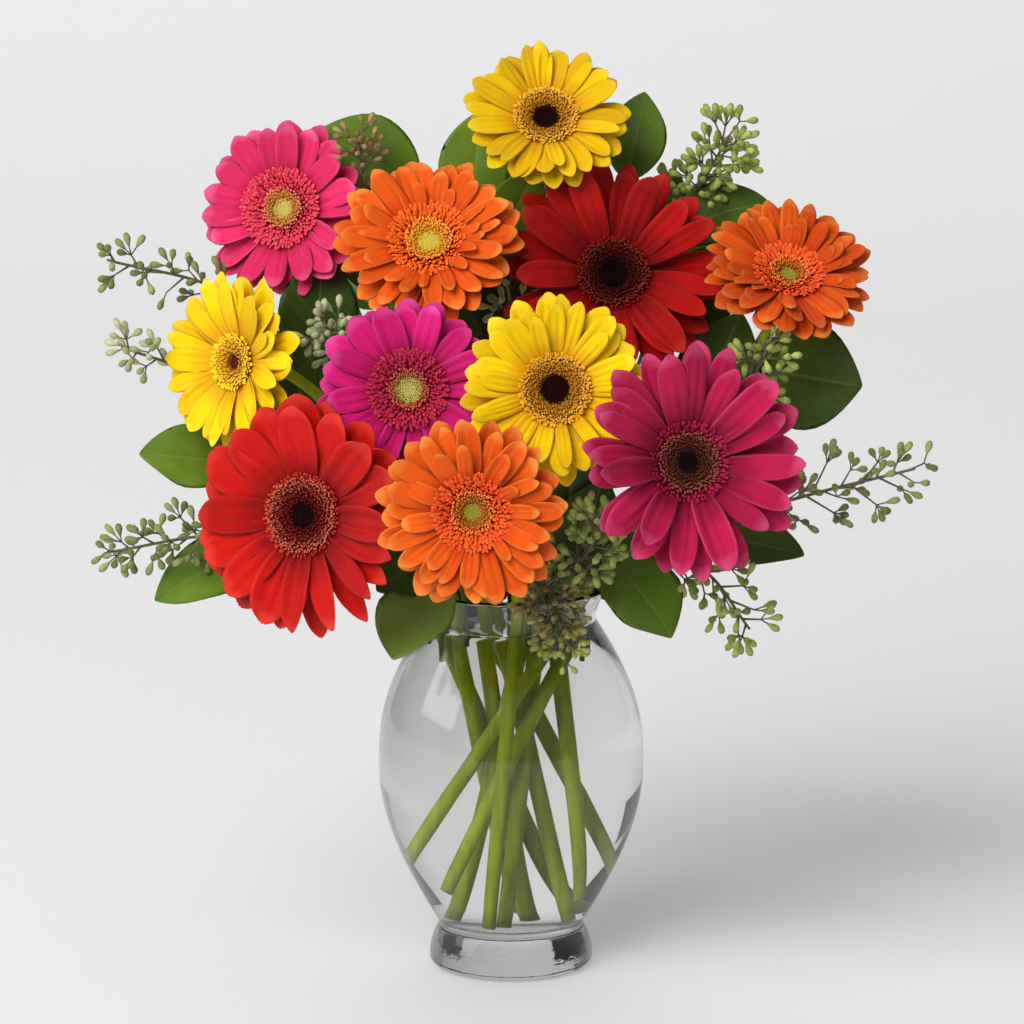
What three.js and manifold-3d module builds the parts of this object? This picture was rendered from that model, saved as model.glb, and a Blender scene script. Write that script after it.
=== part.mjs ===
// Gerberas in a clear glass vase, in millimetres, +Z up.
// The origin is the centre of the foot's flat underside, and -Y is the front.
import * as THREE from "three";
import { mergeVertices } from "three/addons/utils/BufferGeometryUtils.js";
import Module from "manifold-3d";

const wasm = await Module();
wasm.setup();

// Vase
const VASE_HEIGHT = 194;
const FOOT_RADIUS = 41.3;
const WAIST_RADIUS = 36.2;
const WAIST_HEIGHT = 21;
const BELLY_RADIUS = 66.8;
const BELLY_HEIGHT = 104;
const NECK_RADIUS = 42.2;
const NECK_HEIGHT = 178;
const LIP_RADIUS = 48;
const WALL = 2.8;
const FLOOR_HEIGHT = 22;
const FLOOR_DISH = 1.5;
const FLOOR_ROUND = 2;
const FOOT_BEVEL = 2.5;
const FOOT_RIM_HEIGHT = 10;
const LIP_ROUND = 1;
const VASE_SIDES = 32;

// Water, and the gap that pieces in touch keep
const WATER_HEIGHT = 176;
const GAP = 0.3;

// Flower stems
const STEM_RADIUS = 3.2;
const STEM_TAPER = 0.06;
const STEM_SIDES = 8;
const STEM_STEPS = 6;
const COLLAR_HEIGHT = 182;
const CALYX_DEPTH = 11;
const CALYX_SHOULDER = 0.45;

// Blooms: the shares are of the bloom's radius, and the whorls' spacing is that of a 45 mm bloom
const ROOT_SHARE = 0.24;
const CALYX_SHARES = [0.15, 0.21];
const PETAL_THICKNESS = 0.9;
const PETAL_FULLNESS = 0.69;
const PETAL_DROOP = 0.06;
const PETAL_TIP = 0.2;
const WHORL_SPACING = 3.2;
const USUAL_RADIUS = 45;

// A whorl's cup in degrees, and its petals' stations: share of the length, breadth, edge's lift
const UPPER_WHORL = { phase: 0, side: 1, cup: 16, stations: [[0.4, 0.74, 0.3], [0.8, 1, 0.8]] };
const LOWER_WHORL = { phase: 0.5, side: -1, cup: 9, stations: [[0.78, 1, 0.6]] };
const LOWER_SEED = 50;

// Eyes
const EYE_SIDES = 12;
const EYE_SLOPE = 20;
const EYE_LIFT = 0.4;
const EYE_RIM = 0.7;
const FLORET_HEIGHT = 2.2;
const TOOTH_REACH = 0.06;
const TOOTH_LIFT = 0.3;

// Foliage
const TWIG_RADIUS = 1.3;
const TWIG_SIDES = 4;
const TWIG_STEPS = 6;
const TWIG_SLOT_RADIUS = 36;
const TWIG_CUT_HEIGHT = 154;
const LEAF_THICKNESS = 0.8;
const LEAF_ARCH = 0.06;
const LEAF_FOLD = 0.05;
const LEAF_OUTLINE = [[0.14, 0.66], [0.36, 1], [0.62, 0.88], [0.84, 0.5]];
const SIDE_TWIG_RADII = [0.75, 0.65];
const KNUCKLE = 1.6;
const GOLDEN_ANGLE = 2.4;
const SEED_LENGTH = 6.4;
const SEED_BELLY = 0.62;
const SEED_RADIUS = 1.6;
const SPRAY_CLEARANCE = 0.6;

// Colours
const COLOURS = {
  glass: 0xdfe6e6,
  water: 0xcfe0dd,
  yellow: 0xf7d417,
  pink: 0xd62a66,
  orange: 0xf0701e,
  red: 0xc4221c,
  magenta: 0xc92378,
  crimson: 0xb01d4c,
  darkEye: 0x2a0f12,
  greenEye: 0xa9b84a,
  tanEye: 0x8a4a22,
  stem: 0x6f8f2c,
  leaf: 0x3d6b26,
  sage: 0x7c8a5a,
  brown: 0x6b4a34,
};

// One line a bloom: centre, the way it faces (degrees to the right, degrees up), radius, petals in a
// whorl, share of the radius that the eye takes, and its stem's place in the neck and in the body.
const BLOOMS = [
  { name: "yellow_top", at: [17, -4, 429], turn: 0, tilt: 38, radius: 41, petals: 12, eye: 0.36,
    petal: "yellow", centre: "tanEye", neck: [12, 26], foot: [31, -22, 40] },
  { name: "pink_left", at: [-112, 8, 383], turn: -20, tilt: 16, radius: 44, petals: 12, eye: 0.42,
    petal: "pink", centre: "greenEye", neck: [-20, 27], foot: [43, -2, 51] },
  { name: "orange_upper", at: [-40, -30, 372], turn: -4, tilt: 34, radius: 46, petals: 12, eye: 0.4,
    petal: "orange", centre: "greenEye", neck: [-8, 13], foot: [23, -5, 27] },
  { name: "red_upper", at: [50, -24, 355], turn: 2, tilt: 24, radius: 57, petals: 13, eye: 0.3,
    petal: "red", centre: "darkEye", neck: [12, 8], foot: [-3, -15, 26] },
  { name: "orange_right", at: [135, -34, 356], turn: 12, tilt: 52, radius: 43, petals: 12, eye: 0.38,
    petal: "orange", centre: "greenEye", neck: [34, 4], foot: [-29, -24, 46] },
  { name: "yellow_left", at: [-133, -48, 316], turn: -44, tilt: 10, radius: 44, petals: 12, eye: 0.3,
    petal: "yellow", centre: "tanEye", neck: [-33, 4], foot: [21, 24, 30] },
  { name: "magenta_middle", at: [-49, -80, 308], turn: -4, tilt: 14, radius: 45, petals: 12, eye: 0.42,
    petal: "magenta", centre: "greenEye", neck: [-13, -7], foot: [6, 20, 27] },
  { name: "yellow_middle", at: [21, -100, 312], turn: 0, tilt: 10, radius: 45, petals: 12, eye: 0.36,
    petal: "yellow", centre: "tanEye", neck: [8, -13], foot: [-21, 5, 27] },
  { name: "crimson_right", at: [84, -114, 279], turn: 8, tilt: 14, radius: 57, petals: 13, eye: 0.27,
    petal: "crimson", centre: "tanEye", neck: [26, -22], foot: [-43, -4, 58] },
  { name: "red_low", at: [-98, -98, 250], turn: -24, tilt: 11, radius: 57, petals: 13, eye: 0.31,
    petal: "red", centre: "darkEye", neck: [-26, -21], foot: [4, 32, 34] },
  { name: "orange_low", at: [-18, -138, 260], turn: -2, tilt: 5, radius: 46, petals: 12, eye: 0.4,
    petal: "orange", centre: "greenEye", neck: [3, -33], foot: [-10, -27, 27] },
];

// One line a leafy stem: its slot round the neck in degrees, the points that it passes, and its
// leaves, each from its base to its tip, with its width and the way its upper face looks.
const LEAFY_STEMS = [
  { name: "leafy_upper_left", slot: 143, via: [[-36, 34, 290], [-44, 26, 380]], leaves: [
    { base: [-48, 22, 392], tip: [-90, 20, 427], width: 42, face: [0, -1, 0.3] },
    { base: [-56, 50, 322], tip: [-104, 66, 350], width: 36, face: [-0.3, 0.6, 0.8] }] },
  { name: "leafy_upper_middle", slot: 100, via: [[-14, 36, 290], [-20, 26, 366]], leaves: [
    { base: [-22, 22, 376], tip: [-15, 25, 430], width: 36, face: [0, -1, 0.2] },
    { base: [-8, 22, 360], tip: [12, 12, 404], width: 30, face: [0.2, -1, 0.2] }] },
  { name: "leafy_upper_right", slot: 54, via: [[36, 34, 280], [56, 26, 384]], leaves: [
    { base: [58, 24, 396], tip: [66, 20, 440], width: 30, face: [0, -1, 0.2] },
    { base: [80, 22, 368], tip: [128, 20, 385], width: 34, face: [0, -0.8, 0.6] }] },
  { name: "leafy_right", slot: -2, via: [[70, -4, 226], [108, -14, 280]], leaves: [
    { base: [122, -8, 306], tip: [173, -22, 299], width: 54, face: [0.2, -1, 0.2] },
    { base: [98, -22, 224], tip: [144, -48, 220], width: 28, face: [0.2, -0.8, 0.6] }] },
  { name: "leafy_left", slot: 193, via: [[-74, 0, 226], [-112, -14, 252]], leaves: [
    { base: [-136, -22, 262], tip: [-182, -44, 270], width: 33, face: [-0.2, -1, 0.5] },
    { base: [-118, -40, 222], tip: [-174, -66, 201], width: 29, face: [0, -0.9, 0.6] }] },
  { name: "leafy_front_left", slot: -128, via: [[-29, -45, 205]], leaves: [
    { base: [-34, -52, 206], tip: [-58, -84, 176], width: 40, face: [-0.3, -0.8, 0.6] }] },
  { name: "leafy_front_right", slot: -58, via: [[36, -45, 208]], leaves: [
    { base: [47, -52, 219], tip: [78, -78, 185], width: 40, face: [0.2, -0.8, 0.6] }] },
  { name: "leafy_back_left", slot: 117, via: [[-50, 62, 250], [-64, 74, 310]], leaves: [
    { base: [-68, 78, 322], tip: [-92, 84, 378], width: 40, face: [-0.4, 1, 0.2] },
    { base: [-66, 74, 268], tip: [-116, 74, 296], width: 38, face: [-0.5, 1, 0.4] },
    { base: [-40, 74, 262], tip: [-34, 104, 306], width: 38, face: [-0.1, 1, -0.2] }] },
  { name: "leafy_back_middle", slot: 91, via: [[2, 66, 250], [8, 78, 340]], leaves: [
    { base: [8, 78, 352], tip: [-6, 72, 410], width: 40, face: [0, 1, 0.2] },
    { base: [18, 80, 290], tip: [42, 96, 340], width: 38, face: [0.3, 1, 0] },
    { base: [-8, 76, 238], tip: [-30, 116, 250], width: 38, face: [-0.2, 0.6, 0.8] }] },
  { name: "leafy_back_right", slot: 36, via: [[58, 56, 250], [76, 66, 320]], leaves: [
    { base: [80, 68, 330], tip: [98, 70, 388], width: 40, face: [0.4, 1, 0.2] },
    { base: [78, 60, 270], tip: [132, 64, 288], width: 38, face: [0.5, 1, 0.4] },
    { base: [50, 66, 236], tip: [62, 108, 252], width: 36, face: [0.2, 0.6, 0.8] }] },
];

// One line a seeded spray: its slot, the points that it passes, how many side twigs it has from
// which share of its length, their length, and its colour.
const SPRAYS = [
  { name: "seeded_left_high", slot: 150, via: [[-74, 34, 268], [-140, 8, 340], [-198, -20, 362]],
    from: 0.74, twigs: 5, reach: 17, colour: "sage" },
  { name: "seeded_left_middle", slot: 164, via: [[-84, 20, 250], [-150, -6, 300], [-190, -40, 322]],
    from: 0.78, twigs: 4, reach: 14, colour: "sage" },
  { name: "seeded_left_low", slot: 204, via: [[-80, -30, 216], [-140, -58, 232], [-196, -70, 226]],
    from: 0.62, twigs: 5, reach: 18, colour: "sage" },
  { name: "seeded_top_right", slot: 45, via: [[62, 50, 290], [86, 42, 370], [107, 8, 419]],
    from: 0.8, twigs: 7, reach: 19, colour: "sage" },
  { name: "seeded_right", slot: -21, via: [[84, -20, 222], [134, -36, 244], [198, -42, 262]],
    from: 0.58, twigs: 8, reach: 24, colour: "sage" },
  { name: "seeded_right_low", slot: -49, via: [[54, -46, 215], [92, -60, 216], [116, -80, 190]],
    from: 0.5, twigs: 6, reach: 18, colour: "sage" },
  { name: "seeded_front_low", slot: -76, via: [[16, -56, 206], [20, -82, 204], [24, -96, 184]],
    from: 0.5, twigs: 7, reach: 15, colour: "brown" },
  { name: "seeded_front_right", slot: -67, via: [[30, -56, 216], [38, -84, 230], [44, -98, 250]],
    from: 0.6, twigs: 4, reach: 14, colour: "sage" },
  { name: "seeded_middle_left", slot: 157, via: [[-48, 18, 250], [-76, -4, 306], [-90, -60, 336]],
    from: 0.74, twigs: 4, reach: 14, colour: "sage" },
  { name: "seeded_middle_right", slot: -11, via: [[76, -22, 230], [112, -30, 286], [124, -62, 330]],
    from: 0.72, twigs: 5, reach: 15, colour: "sage" },
  { name: "seeded_upper_left", slot: 108,
    via: [[-34, 58, 290], [-60, 42, 350], [-72, 10, 386], [-75, -4, 420]],
    from: 0.8, twigs: 5, reach: 13, colour: "brown" },
  { name: "seeded_middle", slot: 79, via: [[-3, 30, 256], [2, 8, 320], [-2, -34, 352]],
    from: 0.76, twigs: 3, reach: 14, colour: "sage" },
  { name: "seeded_back", slot: 85, via: [[34, 72, 270], [40, 92, 330], [30, 98, 372]],
    from: 0.66, twigs: 5, reach: 18, colour: "sage" },
];

const radians = THREE.MathUtils.degToRad;
const vector = (list) => new THREE.Vector3(...list);

// A repeatable draw from 0 to 1 for a whole number
function draw(number) {
  const turned = Math.sin(number * 12.9898 + 78.233) * 43758.5453;
  return turned - Math.floor(turned);
}

// Closed skin of corner points and triangles
class Skin {
  constructor() {
    this.corners = [];
    this.faces = [];
  }

  corner(point) {
    this.corners.push(point.x, point.y, point.z);
    return this.corners.length / 3 - 1;
  }

  ring(points) {
    return points.map((point) => this.corner(point));
  }

  // Joins two rings that turn anticlockwise about the way from the first to the second
  bridge(first, second) {
    first.forEach((corner, k) => {
      const next = (k + 1) % first.length;
      this.faces.push(corner, first[next], second[next], corner, second[next], second[k]);
    });
  }

  // Closes a ring's start with a flat fan, or its end
  close(ring, atEnd) {
    for (let k = 1; k + 1 < ring.length; k += 1) {
      if (atEnd) this.faces.push(ring[0], ring[k], ring[k + 1]);
      else this.faces.push(ring[0], ring[k + 1], ring[k]);
    }
  }

  // Draws a ring together in one point, at its start or at its end
  point(ring, tip, atEnd) {
    const corner = this.corner(tip);
    ring.forEach((first, k) => {
      const next = ring[(k + 1) % ring.length];
      if (atEnd) this.faces.push(first, next, corner);
      else this.faces.push(next, first, corner);
    });
  }

  pointAt(corner) {
    return new THREE.Vector3().fromArray(this.corners, corner * 3);
  }

  geometry() {
    const shape = new THREE.BufferGeometry();
    shape.setAttribute("position", new THREE.Float32BufferAttribute(this.corners, 3));
    shape.setIndex(this.faces);
    return shape;
  }
}

// Solids for joining and cutting
function toSolid(geometry) {
  const bare = geometry.clone();
  bare.deleteAttribute("normal");
  bare.deleteAttribute("uv");
  const merged = mergeVertices(bare, 1e-4);
  return new wasm.Manifold(new wasm.Mesh({
    numProp: 3,
    vertProperties: new Float32Array(merged.attributes.position.array),
    triVerts: new Uint32Array(merged.index.array),
  }));
}

function toGeometry(solid) {
  const mesh = solid.getMesh();
  const shape = new THREE.BufferGeometry();
  shape.setAttribute("position", new THREE.Float32BufferAttribute(mesh.vertProperties, 3));
  shape.setIndex([...mesh.triVerts]);
  return shape;
}

// The largest connected body of what the pieces join to
function fused(pieces) {
  const bodies = wasm.Manifold.union(pieces).decompose();
  return bodies.reduce((best, body) => (body.volume() > best.volume() ? body : best));
}

function material(colour, roughness = 0.6) {
  return new THREE.MeshStandardMaterial({ color: COLOURS[colour], roughness, metalness: 0 });
}

function named(name, geometry, finish) {
  const mesh = new THREE.Mesh(geometry, finish);
  mesh.name = name;
  return mesh;
}

// Tube with its own radius at each point, its frame carried along without twist
function tube(points, radii, sides) {
  const skin = new Skin();
  let across = null;
  const rings = points.map((point, k) => {
    const before = points[Math.max(k - 1, 0)];
    const after = points[Math.min(k + 1, points.length - 1)];
    const along = after.clone().sub(before).normalize();
    if (!across) across = Math.abs(along.z) < 0.9 ? vector([0, 0, 1]) : vector([1, 0, 0]);
    across = across.clone().addScaledVector(along, -across.dot(along)).normalize();
    const up = along.clone().cross(across);
    const corners = [];
    for (let side = 0; side < sides; side += 1) {
      const angle = (side / sides) * Math.PI * 2;
      corners.push(point.clone()
        .addScaledVector(across, Math.cos(angle) * radii[k])
        .addScaledVector(up, Math.sin(angle) * radii[k]));
    }
    return skin.ring(corners);
  });
  rings.slice(1).forEach((ring, k) => skin.bridge(rings[k], ring));
  skin.close(rings[0], false);
  skin.close(rings[rings.length - 1], true);
  return skin.geometry();
}

// Vase: outer radius of the body, neck and lip at a height above the waist
function bodyRadius(height) {
  if (height < BELLY_HEIGHT) {
    const share = Math.max(0, (height - WAIST_HEIGHT) / (BELLY_HEIGHT - WAIST_HEIGHT));
    return WAIST_RADIUS + (BELLY_RADIUS - WAIST_RADIUS) * Math.sin((Math.PI / 2) * share);
  }
  if (height < NECK_HEIGHT) {
    const share = (height - BELLY_HEIGHT) / (NECK_HEIGHT - BELLY_HEIGHT);
    return NECK_RADIUS + (BELLY_RADIUS - NECK_RADIUS) * Math.cos((Math.PI / 2) * share ** 1.2);
  }
  const share = (height - NECK_HEIGHT) / (VASE_HEIGHT - NECK_HEIGHT);
  return NECK_RADIUS + (LIP_RADIUS - NECK_RADIUS) * share ** 1.5;
}

function turned(profile, sides) {
  const points = profile.map(([radius, height]) => new THREE.Vector2(radius, height));
  return new THREE.LatheGeometry(points, sides).rotateX(Math.PI / 2);
}

function makeVase() {
  const outerHeights = [22, 34, 52, 76, BELLY_HEIGHT, 132, 156, 170, NECK_HEIGHT, VASE_HEIGHT];
  const innerHeights = [NECK_HEIGHT, 170, 156, 132, BELLY_HEIGHT, 76, 52, 34];
  const outer = outerHeights.map((height) => [bodyRadius(height), height]);
  const inner = innerHeights.map((height) => [bodyRadius(height) - WALL, height]);
  const foot = [[0, 0], [FOOT_RADIUS - FOOT_BEVEL, 0], [FOOT_RADIUS, FOOT_BEVEL],
    [FOOT_RADIUS, FOOT_RIM_HEIGHT]];
  const lip = [[LIP_RADIUS - LIP_ROUND, VASE_HEIGHT + LIP_ROUND], [LIP_RADIUS - WALL, VASE_HEIGHT]];
  const floor = [[WAIST_RADIUS - WALL - FLOOR_ROUND, FLOOR_HEIGHT + FLOOR_DISH], [0, FLOOR_HEIGHT]];
  return turned([...foot, ...outer, ...lip, ...inner, ...floor], VASE_SIDES);
}

// Water: the inside of the vase up to the neck, with a plain hole for each stem
function makeWater(stemHoles) {
  const heights = [34, 52, 76, BELLY_HEIGHT, 132, 156, 170, WATER_HEIGHT];
  const facet = Math.cos(Math.PI / VASE_SIDES);
  const wall = heights.map((height) => [bodyRadius(height) - WALL - GAP / facet, height]);
  const floor = FLOOR_HEIGHT + GAP;
  const bottom = [[0, floor], [WAIST_RADIUS - WALL - FLOOR_ROUND - GAP, floor + FLOOR_DISH]];
  const body = toSolid(turned([...bottom, ...wall, [0, WATER_HEIGHT]], VASE_SIDES));
  return toGeometry(stemHoles.reduce((water, hole) => water.subtract(hole), body));
}

// Bloom: half the way between its two whorls of petals
function halfSpacing(bloom) {
  return (WHORL_SPACING / 2) * (bloom.radius / USUAL_RADIUS);
}

// A petal rises with its way out and drops back at the tip
function petalRise(length, cup, share) {
  return length * (share * Math.sin(cup) - PETAL_DROOP * share * share);
}

// Rings of one whorl of petals. Each petal is a blade of four corners a ring, and neighbours share
// their root corners, so the roots together make the wall of the core.
function whorl(skin, bloom, shape, seed) {
  const { radius, petals } = bloom;
  const level = shape.side * halfSpacing(bloom);
  const rootRadius = radius * ROOT_SHARE;
  const pitch = (Math.PI * 2) / petals;
  const width = pitch * radius * PETAL_FULLNESS;
  const polar = (angle, reach, height) =>
    new THREE.Vector3(Math.cos(angle) * reach, Math.sin(angle) * reach, height);
  const seams = [];
  const tops = [];
  const undersides = [];
  for (let k = 0; k < petals; k += 1) {
    const angle = (k + shape.phase) * pitch;
    seams.push(skin.corner(polar(angle + pitch / 2, rootRadius, level)));
    tops.push(skin.corner(polar(angle, rootRadius, level + PETAL_THICKNESS / 2)));
    undersides.push(skin.corner(polar(angle, rootRadius, level - PETAL_THICKNESS / 2)));
  }
  for (let k = 0; k < petals; k += 1) {
    const angle = (k + shape.phase) * pitch + (draw(seed + k * 3) - 0.5) * 0.06;
    const length = radius * (0.95 + 0.1 * draw(seed + k * 3 + 1)) - rootRadius;
    const cup = radians(shape.cup + (draw(seed + k * 3 + 2) - 0.5) * 4);
    const side = new THREE.Vector3(-Math.sin(angle), Math.cos(angle), 0);
    const middle = (share) =>
      polar(angle, rootRadius + length * share * Math.cos(cup), level + petalRise(length, cup, share));
    let ring = [seams[k], tops[k], seams[(k + petals - 1) % petals], undersides[k]];
    shape.stations.forEach(([share, breadth, lift]) => {
      const centre = middle(share);
      const edge = centre.clone().add(new THREE.Vector3(0, 0, lift));
      const next = skin.ring([
        edge.clone().addScaledVector(side, (breadth * width) / 2),
        centre.clone().add(new THREE.Vector3(0, 0, PETAL_THICKNESS / 2)),
        edge.clone().addScaledVector(side, (-breadth * width) / 2),
        centre.clone().add(new THREE.Vector3(0, 0, -PETAL_THICKNESS / 2)),
      ]);
      skin.bridge(ring, next);
      ring = next;
    });
    const tip = middle(1);
    const left = skin.corner(tip.clone().addScaledVector(side, width * PETAL_TIP));
    const right = skin.corner(tip.clone().addScaledVector(side, -width * PETAL_TIP));
    skin.faces.push(ring[0], ring[1], left, ring[1], right, left, ring[1], ring[2], right);
    skin.faces.push(ring[2], ring[3], right, right, ring[3], left, ring[3], ring[0], left);
  }
  return { seams, tops, undersides };
}

function makePetals(bloom) {
  const skin = new Skin();
  const level = halfSpacing(bloom) + PETAL_THICKNESS / 2;
  const upper = whorl(skin, bloom, UPPER_WHORL, bloom.seed);
  const lower = whorl(skin, bloom, LOWER_WHORL, bloom.seed + LOWER_SEED);
  const top = skin.corner(new THREE.Vector3(0, 0, level));
  const bottom = skin.corner(new THREE.Vector3(0, 0, -level));
  const count = bloom.petals;
  for (let k = 0; k < count; k += 1) {
    const last = (k + count - 1) % count;
    const next = (k + 1) % count;
    skin.faces.push(top, upper.seams[last], upper.tops[k], top, upper.tops[k], upper.seams[k]);
    skin.faces.push(bottom, lower.undersides[k], lower.seams[last]);
    skin.faces.push(bottom, lower.seams[k], lower.undersides[k]);
    const high = [upper.undersides[k], upper.seams[k], upper.undersides[next]];
    const low = [lower.seams[last], lower.tops[k], lower.seams[k]];
    skin.faces.push(low[0], low[1], high[1], low[0], high[1], high[0]);
    skin.faces.push(low[1], low[2], high[2], low[1], high[2], high[1]);
  }
  return skin.geometry();
}

// Eye: a low cushion with a raised, toothed ring of small florets
function makeEye(bloom) {
  const reach = bloom.radius * bloom.eye;
  const root = bloom.radius * ROOT_SHARE;
  const seat = halfSpacing(bloom) + PETAL_THICKNESS / 2 + EYE_LIFT;
  const rim = seat + Math.max(reach - root, 0) * Math.tan(radians(EYE_SLOPE)) + EYE_RIM;
  const profile = [
    [0, seat], [Math.min(root, reach) * 0.96, seat], [reach, rim], [reach * 0.84, rim + FLORET_HEIGHT],
    [reach * 0.5, rim + FLORET_HEIGHT * 0.4], [0, rim + FLORET_HEIGHT * 0.7],
  ];
  const shape = turned(profile, EYE_SIDES);
  const positions = shape.attributes.position;
  for (let k = 0; k < positions.count; k += 1) {
    const point = new THREE.Vector3().fromBufferAttribute(positions, k);
    const out = Math.hypot(point.x, point.y);
    if (out < reach * 0.6 || point.z < rim - GAP / 2) continue;
    const tooth = Math.cos((Math.atan2(point.y, point.x) * EYE_SIDES) / 2);
    const spread = 1 + TOOTH_REACH * tooth;
    point.multiply(new THREE.Vector3(spread, spread, 1));
    point.z += TOOTH_LIFT * tooth;
    positions.setXYZ(k, point.x, point.y, point.z);
  }
  return shape;
}

function facing(bloom) {
  const turn = radians(bloom.turn);
  const tilt = radians(bloom.tilt);
  return new THREE.Vector3(
    Math.sin(turn) * Math.cos(tilt), -Math.cos(turn) * Math.cos(tilt), Math.sin(tilt));
}

// Stem: straight in the vase, then one bend to the back of the bloom, where it widens to the calyx
function stemLine(bloom) {
  const foot = vector(bloom.foot);
  const neck = new THREE.Vector3(bloom.neck[0], bloom.neck[1], COLLAR_HEIGHT);
  const face = facing(bloom);
  const drop = halfSpacing(bloom) + PETAL_THICKNESS / 2 + GAP;
  const back = vector(bloom.at).addScaledVector(face, -drop);
  const calyx = back.clone().addScaledVector(face, -CALYX_DEPTH);
  const rise = neck.clone().sub(foot).normalize();
  const span = neck.distanceTo(calyx);
  const bend = new THREE.CubicBezierCurve3(
    neck, neck.clone().addScaledVector(rise, span * 0.4),
    calyx.clone().addScaledVector(face, -span * 0.27), calyx);
  return { foot, neck, back, calyx, face, bend };
}

function makeStem(bloom) {
  const { foot, back, calyx, face, bend } = stemLine(bloom);
  const points = [foot, ...bend.getPoints(STEM_STEPS)];
  const radii = points.map((point, k) => (k < 2 ? STEM_RADIUS : STEM_RADIUS - STEM_TAPER * k));
  points.push(calyx.clone().addScaledVector(face, CALYX_DEPTH * CALYX_SHOULDER), back);
  radii.push(...CALYX_SHARES.map((share) => bloom.radius * share));
  return tube(points, radii, STEM_SIDES);
}

function stemHole(from, to, radius, sides) {
  const along = to.clone().sub(from).normalize();
  const low = from.clone().addScaledVector(along, -GAP);
  const margin = GAP / Math.cos(Math.PI / sides);
  return toSolid(tube([low, to.clone()], [radius + margin, radius + margin], sides));
}

function makeBloom(bloom) {
  const group = new THREE.Group();
  group.position.copy(vector(bloom.at));
  group.quaternion.setFromUnitVectors(new THREE.Vector3(0, 0, 1), facing(bloom));
  group.add(named(`petals_${bloom.name}`, makePetals(bloom), material(bloom.petal)));
  group.add(named(`eye_${bloom.name}`, makeEye(bloom), material(bloom.centre, 0.8)));
  return group;
}

// Foliage: where a thin stem stands in the neck, and how it goes over the lip
function twigLine(plant) {
  const at = (degrees, reach, height) => {
    const angle = radians(degrees);
    return new THREE.Vector3(Math.cos(angle) * reach, Math.sin(angle) * reach, height);
  };
  const cut = at(plant.slot, TWIG_SLOT_RADIUS * 0.84, TWIG_CUT_HEIGHT);
  const neck = at(plant.slot, TWIG_SLOT_RADIUS, COLLAR_HEIGHT);
  const lip = at(plant.slot, TWIG_SLOT_RADIUS + 4, VASE_HEIGHT + 6);
  const route = [neck, lip, ...plant.via.map(vector)];
  const outside = new THREE.CatmullRomCurve3(route, false, "centripetal");
  return { cut, neck, outside };
}

function nearestOn(curve, target) {
  const choices = curve.getSpacedPoints(60);
  return choices.reduce((best, point) =>
    (point.distanceTo(target) < best.distanceTo(target) ? point : best));
}

// Leaf: a blade of four corners a ring from its root in the stem through its stalk to its tip
function makeLeaf(leaf, root) {
  const base = vector(leaf.base);
  const tip = vector(leaf.tip);
  const face = vector(leaf.face).normalize();
  const along = tip.clone().sub(base);
  const side = along.clone().cross(face).normalize().negate();
  const up = side.clone().cross(along).normalize().negate();
  const skin = new Skin();
  const section = (centre, breadth, fold) => skin.ring([
    centre.clone().addScaledVector(side, breadth).addScaledVector(up, fold),
    centre.clone().addScaledVector(up, LEAF_THICKNESS / 2),
    centre.clone().addScaledVector(side, -breadth).addScaledVector(up, fold),
    centre.clone().addScaledVector(up, -LEAF_THICKNESS / 2),
  ]);
  const arch = (share) =>
    base.clone().addScaledVector(along, share)
      .addScaledVector(up, Math.sin(share * Math.PI) * along.length() * LEAF_ARCH);
  const rings = [section(root, 0.7, 0), section(base, 0.9, 0)];
  LEAF_OUTLINE.forEach(([share, breadth]) => {
    rings.push(section(arch(share), (breadth * leaf.width) / 2, breadth * leaf.width * LEAF_FOLD));
  });
  rings.slice(1).forEach((ring, k) => skin.bridge(rings[k], ring));
  skin.close(rings[0], false);
  skin.point(rings[rings.length - 1], tip, true);
  return skin.geometry();
}

function makeLeafyStem(plant) {
  const last = plant.leaves[0].base;
  const { cut, outside } = twigLine({ ...plant, via: [...plant.via, last] });
  const points = [cut, ...outside.getSpacedPoints(TWIG_STEPS)];
  const radii = points.map((point, k) => TWIG_RADIUS - 0.05 * k);
  const leaves = plant.leaves.map((leaf, k) => {
    const target = vector(leaf.base);
    const root = k === 0 ? points[points.length - 1].clone().lerp(points[points.length - 2], 0.2)
      : nearestOn(outside, target.clone().lerp(vector(plant.via[0]), 0.3));
    return toSolid(makeLeaf(leaf, root));
  });
  return fused([toSolid(tube(points, radii, TWIG_SIDES)), ...leaves]);
}

// Seed: a teardrop that swells out of a small triangle of its twig
function growSeed(skin, triangle, start, way) {
  const across = way.clone().cross(vector([0.1, 0.3, 1])).normalize();
  const over = way.clone().cross(across);
  const belly = start.clone().addScaledVector(way, SEED_LENGTH * SEED_BELLY);
  const first = skin.pointAt(triangle[0]).sub(start);
  const lead = Math.atan2(first.dot(over), first.dot(across));
  const ring = skin.ring([0, 1, 2].map((k) => {
    const angle = lead + (k * Math.PI * 2) / 3;
    return belly.clone().addScaledVector(across, Math.cos(angle) * SEED_RADIUS)
      .addScaledVector(over, Math.sin(angle) * SEED_RADIUS);
  }));
  skin.bridge(triangle, ring);
  skin.point(ring, start.clone().addScaledVector(way, SEED_LENGTH), true);
}

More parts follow.
